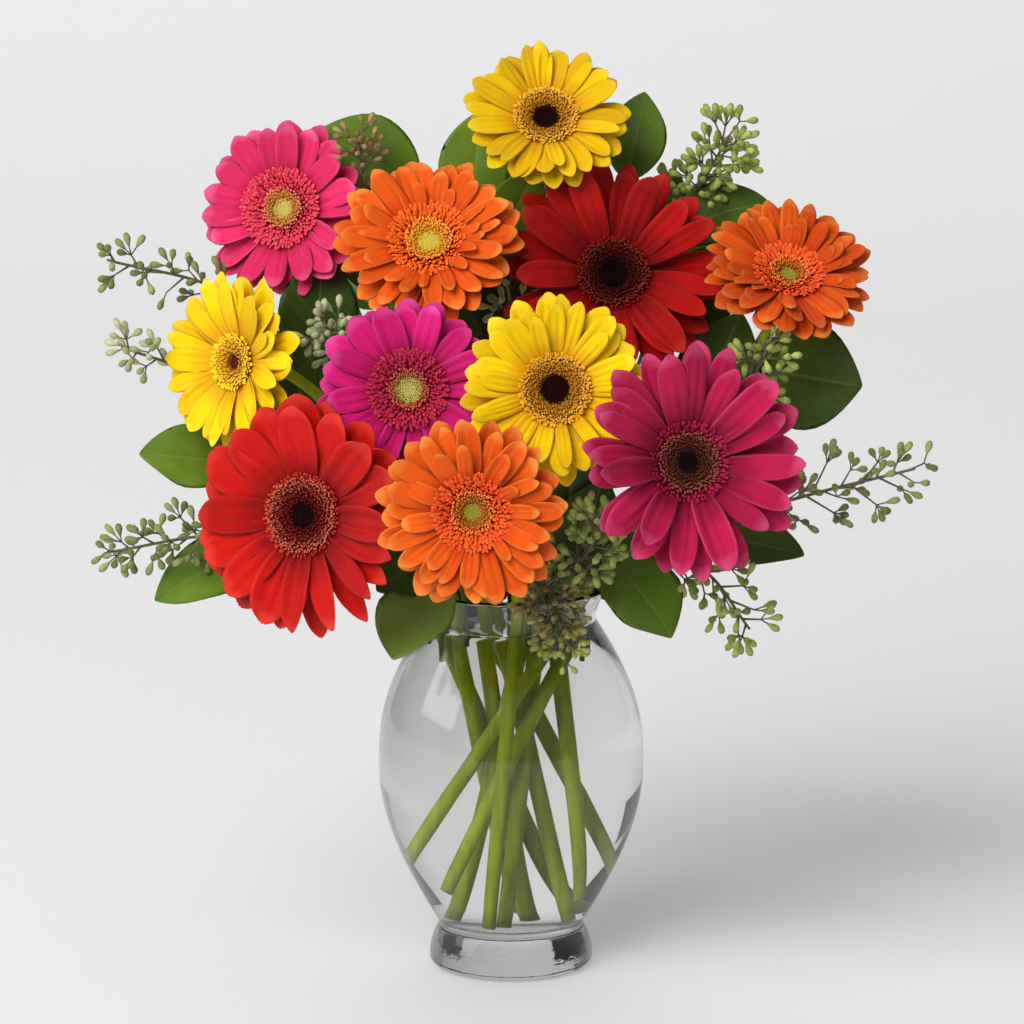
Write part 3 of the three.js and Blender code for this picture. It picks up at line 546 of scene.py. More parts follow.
# %% Petal pieces
WHORL_COLUMNS = "count root reach breadth rise level phase"
FORMS = {
    "yellow": table(WHORL_COLUMNS,
        (20, 0.2, 1.0, 1.2, (10, -4), -1.0, 0.5),
        (20, 0.2, 0.97, 1.1, (20, 2), 0.2, 0.0),
        (17, 0.24, 0.86, 0.85, (28, 8), 0.8, 0.3, {"keep": 0.35})),
    "orange": table(WHORL_COLUMNS,
        (21, 0.2, 1.0, 1.25, (10, -5), -1.0, 0.5),
        (20, 0.2, 0.95, 1.1, (20, 2), 0.0, 0.0),
        (19, 0.24, 0.8, 0.95, (30, 8), 0.8, 0.25, {"keep": 0.7, "loose": 1.4}),
        (17, 0.28, 0.66, 0.8, (38, 14), 1.2, 0.6, {"keep": 0.4, "loose": 1.5})),
    "pink": table(WHORL_COLUMNS,
        (18, 0.2, 1.0, 1.3, (9, -5), -1.0, 0.5),
        (17, 0.2, 0.96, 1.15, (20, 2), 0.2, 0.0)),
    "red": table(WHORL_COLUMNS,
        (16, 0.18, 1.0, 1.4, (8, -8), -1.0, 0.5, {"point": 1.9}),
        (16, 0.18, 0.97, 1.35, (19, 1), 0.3, 0.0, {"point": 2.0, "loose": 0.95})),
    "slim red": table(WHORL_COLUMNS,
        (19, 0.18, 1.0, 1.05, (6, -8), -1.0, 0.5, {"point": 2.1, "loose": 1.4}),
        (17, 0.18, 0.96, 0.95, (22, 2), 0.3, 0.0, {"point": 2.1, "loose": 1.5})),
    "crimson": table(WHORL_COLUMNS,
        (17, 0.18, 1.0, 0.95, (8, -6), -1.0, 0.5, {"point": 2.1, "loose": 1.4}),
        (16, 0.18, 0.96, 0.88, (22, 4), 0.3, 0.0, {"point": 2.1, "loose": 1.5})),
}
FORMS["magenta"] = FORMS["pink"]
WIDEST = 0.72


def make_petals(bloom):
    """All the bloom's whorls as one piece that stands for the frame's petals."""
    heap = Heap()
    radius = bloom["radius"]
    for number, layer in enumerate(FORMS[bloom.get("form", bloom["colour"])]):
        length = 2 * math.pi * radius * layer["reach"] * WIDEST
        rings, numbers = whorl(
            bloom, layer["count"], radius * layer["root"], radius * layer["reach"],
            length / layer["count"] * layer["breadth"], layer["rise"],
            layer["level"] * half_spacing(bloom), bloom["seed"] + 211 * number, phase=layer["phase"],
            keep=layer.get("keep", 1.0), point=layer.get("point", 2.4), loose=layer.get("loose", 1.15))
        # Painted shade: a bloom's shade value lowers every petal's tone, which mixes in more of the deep
        # root colour.
        numbers["tone"] = numbers["tone"] - bloom.get("dim", 0.0)
        heap.add(stand(bloom, rings), **numbers)
    heap.finish(f"bloom_{bloom['name']}", f"petal_{bloom['colour']}",
                petal_finishes[bloom["colour"]], f"petals_{bloom['name']}")


for bloom in BLOOMS:
    make_petals(bloom)

# %% [markdown]
# ## The heads
# The eye of a gerbera is the part that one looks at. It is built as the flower is: a low cushion,
# closed buds on it at a golden angle, open florets with pale tips round them, and a frill of short
# rays that leans out over the petals. Each kind of head says how far each of these goes, as a share
# of the radius, and gives their colours.

# %% The heads' kinds and finish
HEADS = {kind["name"]: kind for kind in table(
    "name slot buds florets frill rows bud inner floret pollen ray",
    ("golden", "eye_tan", 0.165, 0.32, 0.37, 2, (36, 10, 9), (182, 122, 34), (208, 146, 38),
     (236, 190, 84), (234, 176, 34)),
    ("maroon", "eye_tan", 0.08, 0.24, 0.3, 2, (92, 34, 22), (204, 144, 42), (236, 188, 44),
     (246, 208, 60), (246, 206, 36)),
    ("black", "eye_dark", 0.12, 0.27, 0.31, 1, (22, 6, 4), (60, 15, 12), (90, 25, 20), (128, 52, 38),
     (124, 14, 14)),
    ("coral", "eye_dark", 0.1, 0.29, 0.34, 2, (30, 8, 8), (92, 20, 18), (136, 40, 32), (204, 112, 84),
     (176, 40, 30)),
    ("brown", "eye_tan", 0.1, 0.23, 0.33, 3, (16, 5, 3), (78, 36, 28), (110, 50, 42), (150, 84, 70),
     (150, 26, 60)),
    ("magenta", "eye_green", 0.115, 0.19, 0.42, 7, (190, 188, 100), (170, 108, 58), (204, 88, 58),
     (210, 104, 112), (180, 38, 68)),
    ("pink", "eye_green", 0.11, 0.2, 0.45, 7, (208, 192, 102), (196, 140, 64), (228, 124, 78),
     (240, 150, 118), (226, 62, 88)),
    ("lime", "eye_green", 0.11, 0.22, 0.42, 6, (214, 196, 74), (226, 166, 52), (240, 138, 44),
     (250, 176, 80), (242, 100, 34)),
    ("green", "eye_green", 0.09, 0.19, 0.4, 8, (156, 150, 56), (174, 108, 38), (220, 106, 44),
     (244, 150, 84), (234, 88, 40)))}


def head_finish(name, kind):
    """Bud, floret and ray colours by zone, with painted shade that darkens each one towards its root, and
    lighter at some tips. The florets go from an inner colour to an outer one, and pollen is commonest at
    the rim."""
    finish = Finish(f"head_{name}", Roughness=0.7, Specular_IOR_Level=0.1)
    zone, along, tone, outward = finish.numbers("zone", "along", "tone", "across")
    parts = ("bud", "inner", "floret", "pollen", "ray")
    bud, inner, floret, pollen, ray = (tint(*kind[part]) for part in parts)
    # Painted shade: every bud, floret and ray, and the cushion, is darkened to 0.64 at its root, where the
    # gaps between them would be in shade.
    shade = finish.mix((0.64, 0.64, 0.64, 1.0), (1.0, 1.0, 1.0, 1.0), along.ramp(0.0, 0.7))
    florets = finish.mix(inner, floret, outward)
    dusted = (outward * 0.75 + tone * 0.35).ramp(0.45, 1.05)
    florets = finish.mix(florets, pollen, along.ramp(0.6, 0.9) * dusted)
    rays = finish.mix(ray, pollen, along.ramp(0.75, 1.0) * tone ** 2.0 * 0.8)
    colour = finish.mix(bud, florets, zone.ramp(0.4, 0.6))
    colour = finish.mix(colour, rays, zone.ramp(1.4, 1.6))
    return finish.feed(Base_Color=finish.mix(colour, shade, 1.0, "MULTIPLY"))


head_finishes = {name: head_finish(name, kind) for name, kind in HEADS.items()}
print("head finishes", list(head_finishes))

# %% Heads
GOLDEN_ANGLE = 2.39996
BUD = [(0, 0.7), (0.5, 1.0), (0.85, 0.8), (1, 0.35)]
FLORET = [(0, 0.5), (0.55, 0.55), (0.8, 1.0), (1, 0.55)]
PETAL_RISE = 0.34


def petal_height(bloom, reach):
    """Height of the upper whorl at a distance from the axis: a cone that starts at its root."""
    return half_spacing(bloom) + 0.6 + PETAL_RISE * np.maximum(reach - 0.22 * bloom["radius"], 0)


def cushion_height(bloom, kind, reach):
    """The head's surface at a distance from its axis: sunk in the middle, highest at the rim."""
    rim = bloom["radius"] * kind["florets"]
    return petal_height(bloom, rim) + 0.2 + bloom["radius"] * 0.06 * ((reach / rim) ** 2 - 0.5)


def spiral(inner, outer, spacing):
    """Places at a golden angle that fill a ring evenly: the squared radius grows by equal steps."""
    count = int((outer ** 2 - inner ** 2) / spacing ** 2 * 3.4)
    k = np.arange(count)
    reach = np.sqrt(inner ** 2 + (outer ** 2 - inner ** 2) * (k + 0.5) / count)
    return reach, k * GOLDEN_ANGLE


def add_cushion(heap, bloom, kind):
    """The low body under the buds and florets, darkened by the same painted shade as their roots."""
    rim = bloom["radius"] * kind["florets"]
    bottom = half_spacing(bloom) + 0.3
    reach = np.array([0.4, rim * 0.7, rim, rim * 0.97, rim * 0.6, rim * 0.3, 0.1])
    height = np.concatenate([[bottom, bottom, bottom + 0.6], cushion_height(bloom, kind, reach[3:])])
    zone = 1.0 * (reach > bloom["radius"] * kind["buds"])
    rings = turned(np.stack([reach, height], axis=-1), 24)
    # An along of 0.05 gives the cushion nearly the full painted shade of the roots.
    heap.add(stand(bloom, rings), zone=zone[None, :, None], along=0.05)


def add_spiral(heap, bloom, kind, zone, inner, outer, spacing, profile, tall, lean):
    """Small turned bodies at a golden angle, which lean outwards more and more."""
    rim = bloom["radius"] * kind["florets"]
    reach, angle = spiral(inner, outer, spacing)
    jitter = draw(bloom["seed"] + 700 + np.arange(len(reach)))
    outward = np.stack([np.cos(angle), np.sin(angle), 0 * angle], axis=-1)
    starts = outward * (reach + 0.3 * (jitter - 0.5))[:, None]
    starts[:, 2] = cushion_height(bloom, kind, reach) - 0.5
    tilt = lean * (0.3 + reach / rim) + 0.6 * (draw(31 * jitter) - 0.5)
    ways = outward * np.sin(tilt)[:, None] + np.array([0, 0, 1]) * np.cos(tilt)[:, None]
    shape = np.array(profile) * np.array([1, spacing * 0.5])
    rings = spindles(starts, ways, tall * (0.7 + 0.6 * jitter), shape)
    outward = (reach - inner) / (outer - inner)
    heap.add(stand(bloom, rings), zone=zone, along=shape[:, 0][None, :, None],
             tone=jitter[:, None, None], across=outward[:, None, None])


def add_frill(heap, bloom, kind):
    """Rows of short rays from the florets' rim outwards, upright inside and flatter outside."""
    radius = bloom["radius"]
    rim = radius * kind["florets"]
    for row in range(kind["rows"]):
        share = (row + 0.6) / kind["rows"]
        start = rim + (radius * kind["frill"] - rim - 2) * share
        rings, numbers = whorl(
            bloom, int(2 * math.pi * start / 1.6), start, start + 3.0 + 1.4 * share, 1.7,
            (84 - 40 * share, 40 - 34 * share), float(petal_height(bloom, start)) - 0.3,
            bloom["seed"] + 311 * (row + 3), grain=PLAIN, stations=6, phase=0.37 * row, loose=2.2,
            thick=0.5, base=0.6)
        heap.add(stand(bloom, rings), zone=2.0, **numbers)


def make_head(bloom):
    """Cushion, buds, florets and frill as one piece that stands for the frame's eye."""
    heap = Heap()
    kind = HEADS[bloom["head"]]
    buds, rim = bloom["radius"] * kind["buds"], bloom["radius"] * kind["florets"]
    add_cushion(heap, bloom, kind)
    add_spiral(heap, bloom, kind, 0.0, 0.0, buds, 1.1, BUD, 1.4, 0.1)
    add_spiral(heap, bloom, kind, 1.0, buds, rim, 1.1, FLORET, 2.8, 0.5)
    add_frill(heap, bloom, kind)
    heap.finish(f"head_{bloom['name']}", kind["slot"], head_finishes[bloom["head"]],
                f"eye_{bloom['name']}")


for bloom in BLOOMS:
    make_head(bloom)

# %% [markdown]
# ## Stems
# A gerbera's stem is smooth, leafless and as thick as a pencil. It stands straight in the vase and
# bends once to its bloom, where it widens into a cup of small green bracts that hold the petals.

# %% Stem finish
STEM_RADIUS = 3.2
COLLAR_HEIGHT = 182
CALYX_DEPTH = 11
GAP = 0.3
THIN_RADIUS = 2.75
STRAIGHT_STEPS = 12
CUP_DEPTHS = np.array([0.75, 0.55, 0.3, 0.1, 0.0])
CUP_RADII = np.array([0.085, 0.13, 0.175, 0.205, 0.21])


def stem_finish():
    """Yellow green, lighter in streaks along the stem, with fine ridges."""
    finish = Finish("stem", Roughness=0.4, Specular_IOR_Level=0.15)
    streaks = finish.noise(300, stretch=(1, 1, 0.06))
    cloud = finish.noise(25)
    colour = finish.ramp(streaks * 0.5 + cloud * 0.5, [
        (0.3, tint(118, 138, 12)), (0.5, tint(156, 172, 20)), (0.72, tint(198, 206, 56))])
    bract, = finish.numbers("zone")
    colour = finish.mix(colour, tint(92, 122, 44), bract * 0.8)
    return finish.feed(Base_Color=colour, Normal=finish.bump(streaks, 0.2 * MM, 0.4))


stem_material = stem_finish()


# %% Stem pieces
def underside(bloom):
    """How far behind the bloom's centre its stem ends."""
    return half_spacing(bloom) + PETAL_THICKNESS / 2 + GAP


def stem_line(bloom):
    """Foot, neck, Bezier bend and back of the bloom, in millimetres, as the frame's stem has them."""
    foot = np.array(bloom["foot"], dtype=float)
    neck = np.array([*bloom["neck"], COLLAR_HEIGHT], dtype=float)
    face = facing(bloom)
    back = np.array(bloom["at"]) - face * underside(bloom)
    calyx = back - face * CALYX_DEPTH
    rise = unit(neck - foot)
    span = np.linalg.norm(neck - calyx)
    bend = bezier([neck, neck + rise * span * 0.4, calyx - face * span * 0.27, calyx], 28)
    return foot, bend, back, face


def make_stem(bloom):
    """Ribbed tube to the calyx, its cup, and two rows of bracts, as one piece."""
    heap = Heap()
    foot, bend, back, face = stem_line(bloom)
    straight = np.linspace(foot, bend[0], STRAIGHT_STEPS, endpoint=False)
    cup = back - face * CALYX_DEPTH * CUP_DEPTHS[:, None]
    path = np.vstack([straight, bend, cup]) * MM
    radius = bloom["radius"]
    radii = np.concatenate([np.full(STRAIGHT_STEPS, STEM_RADIUS),
                            np.linspace(STEM_RADIUS, THIN_RADIUS, len(bend)), radius * CUP_RADII])
    heap.add(tube(path, radii * MM, 16, ribs=0.03))
    for row, (deep, rise, reach) in enumerate([(9.5, (58, 30), 11.5), (6.5, (40, 8), 13.5)]):
        level = -underside(bloom) - deep
        root = radius * (0.06 + 0.05 * row)
        rings, numbers = whorl(
            bloom, 18, root, root + reach, 2.6, rise, level, bloom["seed"] + 600 + row * 31, grain=PLAIN,
            stations=6, phase=0.5 * row, loose=0.5, thick=0.6, base=0.7)
        heap.add(stand(bloom, rings), zone=1.0, **numbers)
    heap.finish(f"stalk_{bloom['name']}", "stem", stem_material, f"stem_{bloom['name']}")


for bloom in BLOOMS:
    make_stem(bloom)

# %% [markdown]
# ## Broad leaves
# The leaves are stiff, waxy and oval, with a short point. The blade folds a little along its midrib, and
# side veins run from it to the margin in shallow arcs. One function makes a leaf from its base, its tip,
# its width and the way that its upper face looks, in millimetres. The table has a row for each stem: where
# round the neck it crosses the lip, in degrees, its tone, the points it passes, and its leaves. A tone
# paints light and shade into the green: below 1 it is painted shade, above 1 painted light. The leaves
# with a tone of their own get painted shade, deep between the blooms.

# %% Leaf finish
def leaf_finish():
    """Midrib and side veins as thin pale lines, from the distance to the nearest line of a family along =
    spacing k + slant across, on patches of green under a waxy gloss. A leaf's tone paints light and shade:
    it takes the leaf from a painted shade of dark green, at 0, through its own green, at 1, to a painted
    lighter green above that."""
    finish = Finish("leaf", Specular_IOR_Level=0.26, Coat_Roughness=0.25)
    across, along, tone, twig = finish.numbers("across", "along", "tone", "zone")
    cloud = finish.noise(60)
    patch = finish.noise(14)
    fan = (along * 8 - abs(across) ** 1.3 * 2.4 + cloud * 0.25).fraction()
    side_vein = abs(fan - 0.5).ramp(0.42, 0.5)
    midrib = 1 - abs(across).ramp(0.015, 0.05)
    veins = (side_vein * 0.4).larger(midrib)
    colour = finish.ramp(patch * 0.6 + cloud * 0.4, [
        (0.3, tint(78, 110, 28)), (0.5, tint(96, 126, 36)), (0.7, tint(116, 142, 52))])
    # Painted shade and light: a tone below 1 darkens the leaf towards shade green, and a tone above 1
    # lightens it.
    colour = finish.mix(tint(28, 46, 10), colour, tone)
    colour = finish.mix(colour, tint(150, 178, 92), tone - 1)
    colour = finish.mix(colour, tint(140, 160, 92), veins * 0.2)
    colour = finish.mix(colour, tint(92, 104, 38), twig)
    height = cloud * 0.4 + (1 - veins) * 0.6
    return finish.feed(Base_Color=colour, Roughness=0.3 + cloud * 0.16,
                       Coat_Weight=0.1 * (1 - twig), Normal=finish.bump(height, 0.35 * MM, 0.5))


leaf_material = leaf_finish()

# %% The leafy stems' table
LEAFY_STEMS = table(
    "name slot tone via leaves",
    ("upper_left", 143, 1.0, [(-36, 34, 290), (-44, 26, 380)], [
        ((-47, 22, 393), (-95, 20, 421), 43, (0, -1, 0.3)),
        ((-56, 50, 322), (-104, 66, 350), 36, (-0.3, 0.6, 0.8)),
        ((-64, 18, 340), (-84, 16, 396), 38, (0.2, -1, 0.1), 0.3),
        ((-84, 2, 284), (-106, 10, 340), 38, (0.3, -1, 0.1), 0.3),
        ((-100, -4, 304), (-93, 2, 362), 40, (0.1, -1, 0.1), 0.15)]),
    ("upper_middle", 100, 0.9, [(-14, 36, 290), (-20, 26, 366)], [
        ((-22, 22, 376), (-15, 25, 430), 36, (0, -1, 0.2)),
        ((-8, 22, 360), (12, 12, 404), 30, (0.2, -1, 0.2)),
        ((-8, -2, 310), (2, 14, 366), 38, (0, -1, 0.2), 0.2),
        ((-22, -6, 296), (-40, -4, 346), 34, (-0.1, -1, 0.2), 0.2)]),
    ("upper_right", 54, 0.65, [(36, 34, 280), (56, 26, 384)], [
        ((58, 24, 396), (66, 20, 440), 30, (0, -1, 0.2)),
        ((80, 22, 368), (128, 20, 385), 34, (0, -0.8, 0.6), 0.35),
        ((66, 30, 362), (84, 34, 398), 26, (0, -1, 0.3), 0.2),
        ((74, 6, 314), (108, 6, 366), 40, (0, -1, 0.1), 0.2)]),
    ("right", -2, 0.35, [(70, -4, 226), (108, -14, 280)], [
        ((122, -8, 306), (173, -22, 299), 54, (0.2, -1, 0.2)),
        ((98, -22, 224), (144, -48, 220), 28, (0.2, -0.8, 0.6)),
        ((90, -18, 276), (114, -8, 334), 40, (0, -1, 0.1), 0.25),
        ((36, 8, 192), (78, -6, 228), 44, (0, -1, 0.2), 0.3)]),
    ("left", 193, 1.0, [(-74, 0, 226), (-112, -14, 252)], [
        ((-136, -22, 262), (-182, -44, 270), 33, (-0.2, -1, 0.5)),
        ((-118, -40, 222), (-174, -66, 201), 32, (0, -0.9, 0.6)),
        ((-90, -30, 230), (-128, -22, 276), 36, (0, -1, 0.2), 0.3),
        ((-100, -8, 256), (-106, -2, 316), 36, (0, -1, 0.1), 0.15)]),
    # A tone of 1.5 paints light onto these leaves, which sit in the blooms' shadow.
    ("front_left", -128, 1.5, [(-29, -45, 205)], [
        ((-34, -52, 206), (-58, -84, 176), 40, (-0.3, -0.8, 0.6)),
        ((-40, -40, 216), (-66, -56, 204), 30, (0, -0.8, 0.6), 0.3)]),
    ("front_right", -58, 0.85, [(36, -45, 208)], [
        ((47, -52, 219), (78, -78, 185), 40, (0.2, -0.8, 0.6)),
        ((30, -48, 206), (46, -62, 262), 34, (0, -1, 0.2), 0.2),
        ((22, -42, 208), (12, -52, 262), 32, (0, -1, 0.2), 0.2),
        ((26, -50, 236), (30, -60, 290), 40, (0, -1, 0.1), 0.2)]),
    ("back_left", 117, 0.8, [(-50, 62, 250), (-64, 74, 310)], [
        ((-68, 78, 322), (-92, 84, 378), 40, (-0.4, 1, 0.2)),
        ((-66, 74, 268), (-116, 74, 296), 38, (-0.5, 1, 0.4)),
        ((-40, 74, 262), (-34, 104, 306), 38, (-0.1, 1, -0.2))]),
    ("back_middle", 91, 0.8, [(2, 66, 250), (8, 78, 340)], [
        ((8, 78, 352), (-6, 72, 410), 40, (0, 1, 0.2)),
        ((18, 80, 290), (42, 96, 340), 38, (0.3, 1, 0)),
        ((-8, 76, 238), (-30, 116, 250), 38, (-0.2, 0.6, 0.8)),
        ((2, 26, 182), (38, 20, 212), 34, (0.1, -1, 0.1), 0.4),
        ((-4, 28, 180), (-38, 20, 208), 34, (-0.1, -1, 0.1), 0.4)]),
    ("back_right", 36, 0.8, [(58, 56, 250), (76, 66, 320)], [
        ((80, 68, 330), (98, 70, 388), 40, (0.4, 1, 0.2)),
        ((78, 60, 270), (132, 64, 288), 38, (0.5, 1, 0.4)),
        ((50, 66, 236), (62, 108, 252), 36, (0.2, 0.6, 0.8))]))
SLOT_RADIUS = 36
CUT_HEIGHT = 154
VASE_HEIGHT = 194
TWIG_RADIUS = 1.3
LEAF_THICKNESS = 0.7
LEAF_GRAIN = np.array([1, 0.85, 0.65, 0.42, 0.2, 0.06, 0, -0.06, -0.2, -0.42, -0.65, -0.85, -1])


# %% Leafy stems
def twig_line(plant, steps, last=None):
    """Cut end in the water, then over the lip in the plant's slot and on through its points."""
    angle = math.radians(plant["slot"])
    round_neck = np.array([math.cos(angle), math.sin(angle), 0])
    cut = round_neck * SLOT_RADIUS * 0.9 + [0, 0, CUT_HEIGHT + 16 * float(draw(plant["slot"]))]
    neck = round_neck * SLOT_RADIUS + [0, 0, COLLAR_HEIGHT]
    lip = round_neck * (SLOT_RADIUS + 4) + [0, 0, VASE_HEIGHT + 6]
    route = [neck, lip, *plant["via"]] + ([last] if last is not None else [])
    return cut, smooth_path(route, steps)


def leaf(base, tip, width, face, seed):
    """Rings of one leaf. The half width is sin(pi v) to a power that grows from 0.5 at the round
    base to 0.8 at the blunt tip. The blade arches by sin(pi v), folds up by |u| and waves at
    its margin."""
    base, tip = np.array(base, dtype=float), np.array(tip, dtype=float)
    span = tip - base
    side = unit(np.cross(face, span))
    upper = unit(np.cross(span, side))
    v = ((1 - np.cos(np.linspace(0, np.pi, 19)) * 0.99) / 2)[:, None]
    u, top = blade(LEAF_GRAIN)
    half = width / 2 * np.sin(np.pi * v) ** (0.5 + 0.3 * v)
    chance = draw(seed + np.arange(5)) - 0.5
    wave = np.sin(v * (14 + 8 * chance[0]) + 6 * chance[1] + 1.5 * np.sign(u)) * np.abs(u) ** 3
    rise = (np.sin(np.pi * v) * np.linalg.norm(span) * 0.07 + half * np.abs(u) ** 1.4 * 0.16
            + wave * width * 0.03 - 0.35 * np.exp(-(u / 0.05) ** 2)
            + top * LEAF_THICKNESS / 2 * (1 - 0.7 * u ** 2))
    bend = width * 0.10 * chance[2] * np.sin(np.pi * v)
    aside = u * half + bend
    points = base + v[..., None] * span + aside[..., None] * side + rise[..., None] * upper
    return points[None], {"across": u, "along": v}


def make_leafy(number, plant):
    """Twig, leaf stalks and leaves as one piece."""
    heap = Heap()
    cut, route = twig_line(plant, 40, plant["leaves"][0][0])
    path = np.vstack([cut, route]) * MM
    radii = np.linspace(TWIG_RADIUS, 0.85, len(path)) * MM
    heap.add(tube(path, radii, 8), zone=1.0)
    for k, (base, tip, width, face, *own) in enumerate(plant["leaves"]):
        seed = 50 * number + 7 * k
        rings, numbers = leaf(base, tip, width, face, seed)
        # The tone is painted shade or light, varied a little at random.
        tone = (own[0] if own else plant["tone"]) * (0.85 + 0.15 * float(draw(seed + 3)))
        heap.add(rings * MM, tone=tone, **numbers)
        if k:
            target = np.array(base) * 0.7 + np.array(plant["via"][0]) * 0.3
            root = route[np.argmin(np.linalg.norm(route - target, axis=1))]
            inside = np.array(base) + 0.08 * (np.array(tip) - np.array(base))
            stalk = bezier([root, root * 0.6 + np.array(base) * 0.4, np.array(base), inside], 8) * MM
            heap.add(tube(stalk, np.linspace(1.0, 0.6, 9) * MM, 6), zone=0.5, tone=tone)
    heap.finish(f"leaves_{plant['name']}", "leaf", leaf_material, f"leafy_{plant['name']}")


for number, plant in enumerate(LEAFY_STEMS):
    make_leafy(number, plant)

# %% [markdown]
# ## Seeded sprays
# The fine twigs carry clusters of club-shaped capsules on short stalks, grey green with darker,
# dimpled ends. Each spray is a main twig with side twigs at a golden angle, and each side twig ends
# in a small umbel. A cluster that would sit inside a bloom is left out by a formula. The table says
# for each spray where round the neck it crosses the lip, in degrees, the share of its length where
# the side twigs start, how many there are and how far they reach, its colour, and its points.

# %% The sprays' table
SPRAYS = table(
    "name slot start twigs reach colour via",
    ("left_high", 150, 0.74, 11, 13, "sage", [(-74, 34, 268), (-140, 8, 340), (-198, -20, 362)]),
    ("left_middle", 164, 0.76, 11, 11, "pale", [(-84, 20, 250), (-150, -6, 300), (-190, -40, 322)]),
    ("left_low", 204, 0.62, 18, 14, "sage", [(-80, -30, 214), (-140, -58, 232), (-196, -70, 226)]),
    ("top_right", 45, 0.74, 36, 20, "lime", [(62, 50, 290), (86, 42, 370), (107, 8, 419)]),
    ("right", -21, 0.58, 17, 20, "sage", [(84, -20, 222), (134, -36, 244), (198, -42, 262)]),
    ("right_low", -49, 0.5, 18, 18, "lime", [(54, -46, 215), (92, -60, 216), (116, -80, 190)]),
    ("front_low", -76, 0.3, 34, 15, "brown", [(16, -56, 206), (20, -82, 204), (24, -96, 184)],
     {"fan": 6, "size": 0.78}),
    ("front_right", -67, 0.4, 26, 17, "lime", [(30, -56, 216), (38, -84, 230), (44, -98, 250)]),
    ("middle_left", 157, 0.74, 12, 14, "pale", [(-48, 18, 250), (-76, -4, 306), (-90, -60, 336)]),
    ("middle_right", -11, 0.72, 16, 15, "lime", [(76, -22, 230), (112, -30, 286), (124, -62, 330)]),
    ("upper_left", 108, 0.78, 26, 12, "russet",
     [(-34, 58, 290), (-60, 42, 350), (-72, 10, 386), (-75, -4, 420)], {"size": 0.8}),
    ("middle", 79, 0.76, 12, 15, "pale", [(-3, 30, 256), (2, 8, 320), (-2, -34, 352)]),
    ("back", 85, 0.66, 10, 18, "sage", [(34, 72, 270), (40, 92, 330), (30, 98, 372)]))
SEED_COLOURS = {
    "sage": [(66, 72, 38), (112, 122, 68), (148, 154, 100)],
    "pale": [(110, 122, 84), (158, 168, 122), (200, 204, 168)],
    "lime": [(76, 88, 32), (122, 140, 58), (172, 184, 98)],
    "brown": [(70, 52, 30), (122, 104, 58), (168, 156, 92)],
    "russet": [(84, 52, 36), (134, 100, 66), (172, 142, 98)],
}
FRESH_ENDS = {"sage": 0.2, "pale": 0.2, "lime": 0.5, "brown": 0.85, "russet": 0.1}
CAPSULE = [(0, 0.25), (0.22, 0.55), (0.55, 1.0), (0.85, 0.9), (1.0, 0.4)]
CAPSULE_LENGTH = 6.6
CAPSULE_RADIUS = 1.8
STALK_RADIUS = 0.36
BARE_SHARE = 0.18


# %% Spray finishes
def seed_finish(name, colours):
    """Capsule colours by chance and by place, dark at the dimpled end, and grey brown twigs."""
    finish = Finish(f"seeds_{name}", Roughness=0.62)
    along, tone, twig, late = finish.numbers("along", "tone", "zone", "across")
    cloud = finish.noise(260)
    dark, body, pale = (tint(*colour) for colour in colours)
    colour = finish.ramp(tone * 0.8 + cloud * 0.3, [(0.1, dark), (0.5, body), (0.95, pale)])
    fresh = finish.mix(tint(126, 138, 44), tint(186, 194, 104), tone)
    colour = finish.mix(colour, fresh, late.ramp(0.6, 0.95) * FRESH_ENDS[name])
    colour = finish.mix(colour, dark, along.ramp(0.75, 1.0) * 0.5)
    bark = finish.mix(tint(104, 96, 74), tint(96, 116, 34), along)
    colour = finish.mix(colour, bark, twig * 0.85)
    return finish.feed(Base_Color=colour, Normal=finish.bump(cloud, 0.3 * MM, 0.5))


seed_finishes = {name: seed_finish(name, colours) for name, colours in SEED_COLOURS.items()}


# %% Spray pieces
def is_free(points):
    """True for each point that isn't within the depth of a bloom: inside its radius and between
    8 mm behind its core and 16 mm before it."""
    free = np.ones(len(points), dtype=bool)
    for bloom in BLOOMS:
        apart = points - np.array(bloom["at"])
        depth = apart @ facing(bloom)
        reach = np.linalg.norm(apart - depth[:, None] * facing(bloom), axis=1)
        free &= (reach > bloom["radius"]) | (depth < -8) | (depth > 16)
    return free


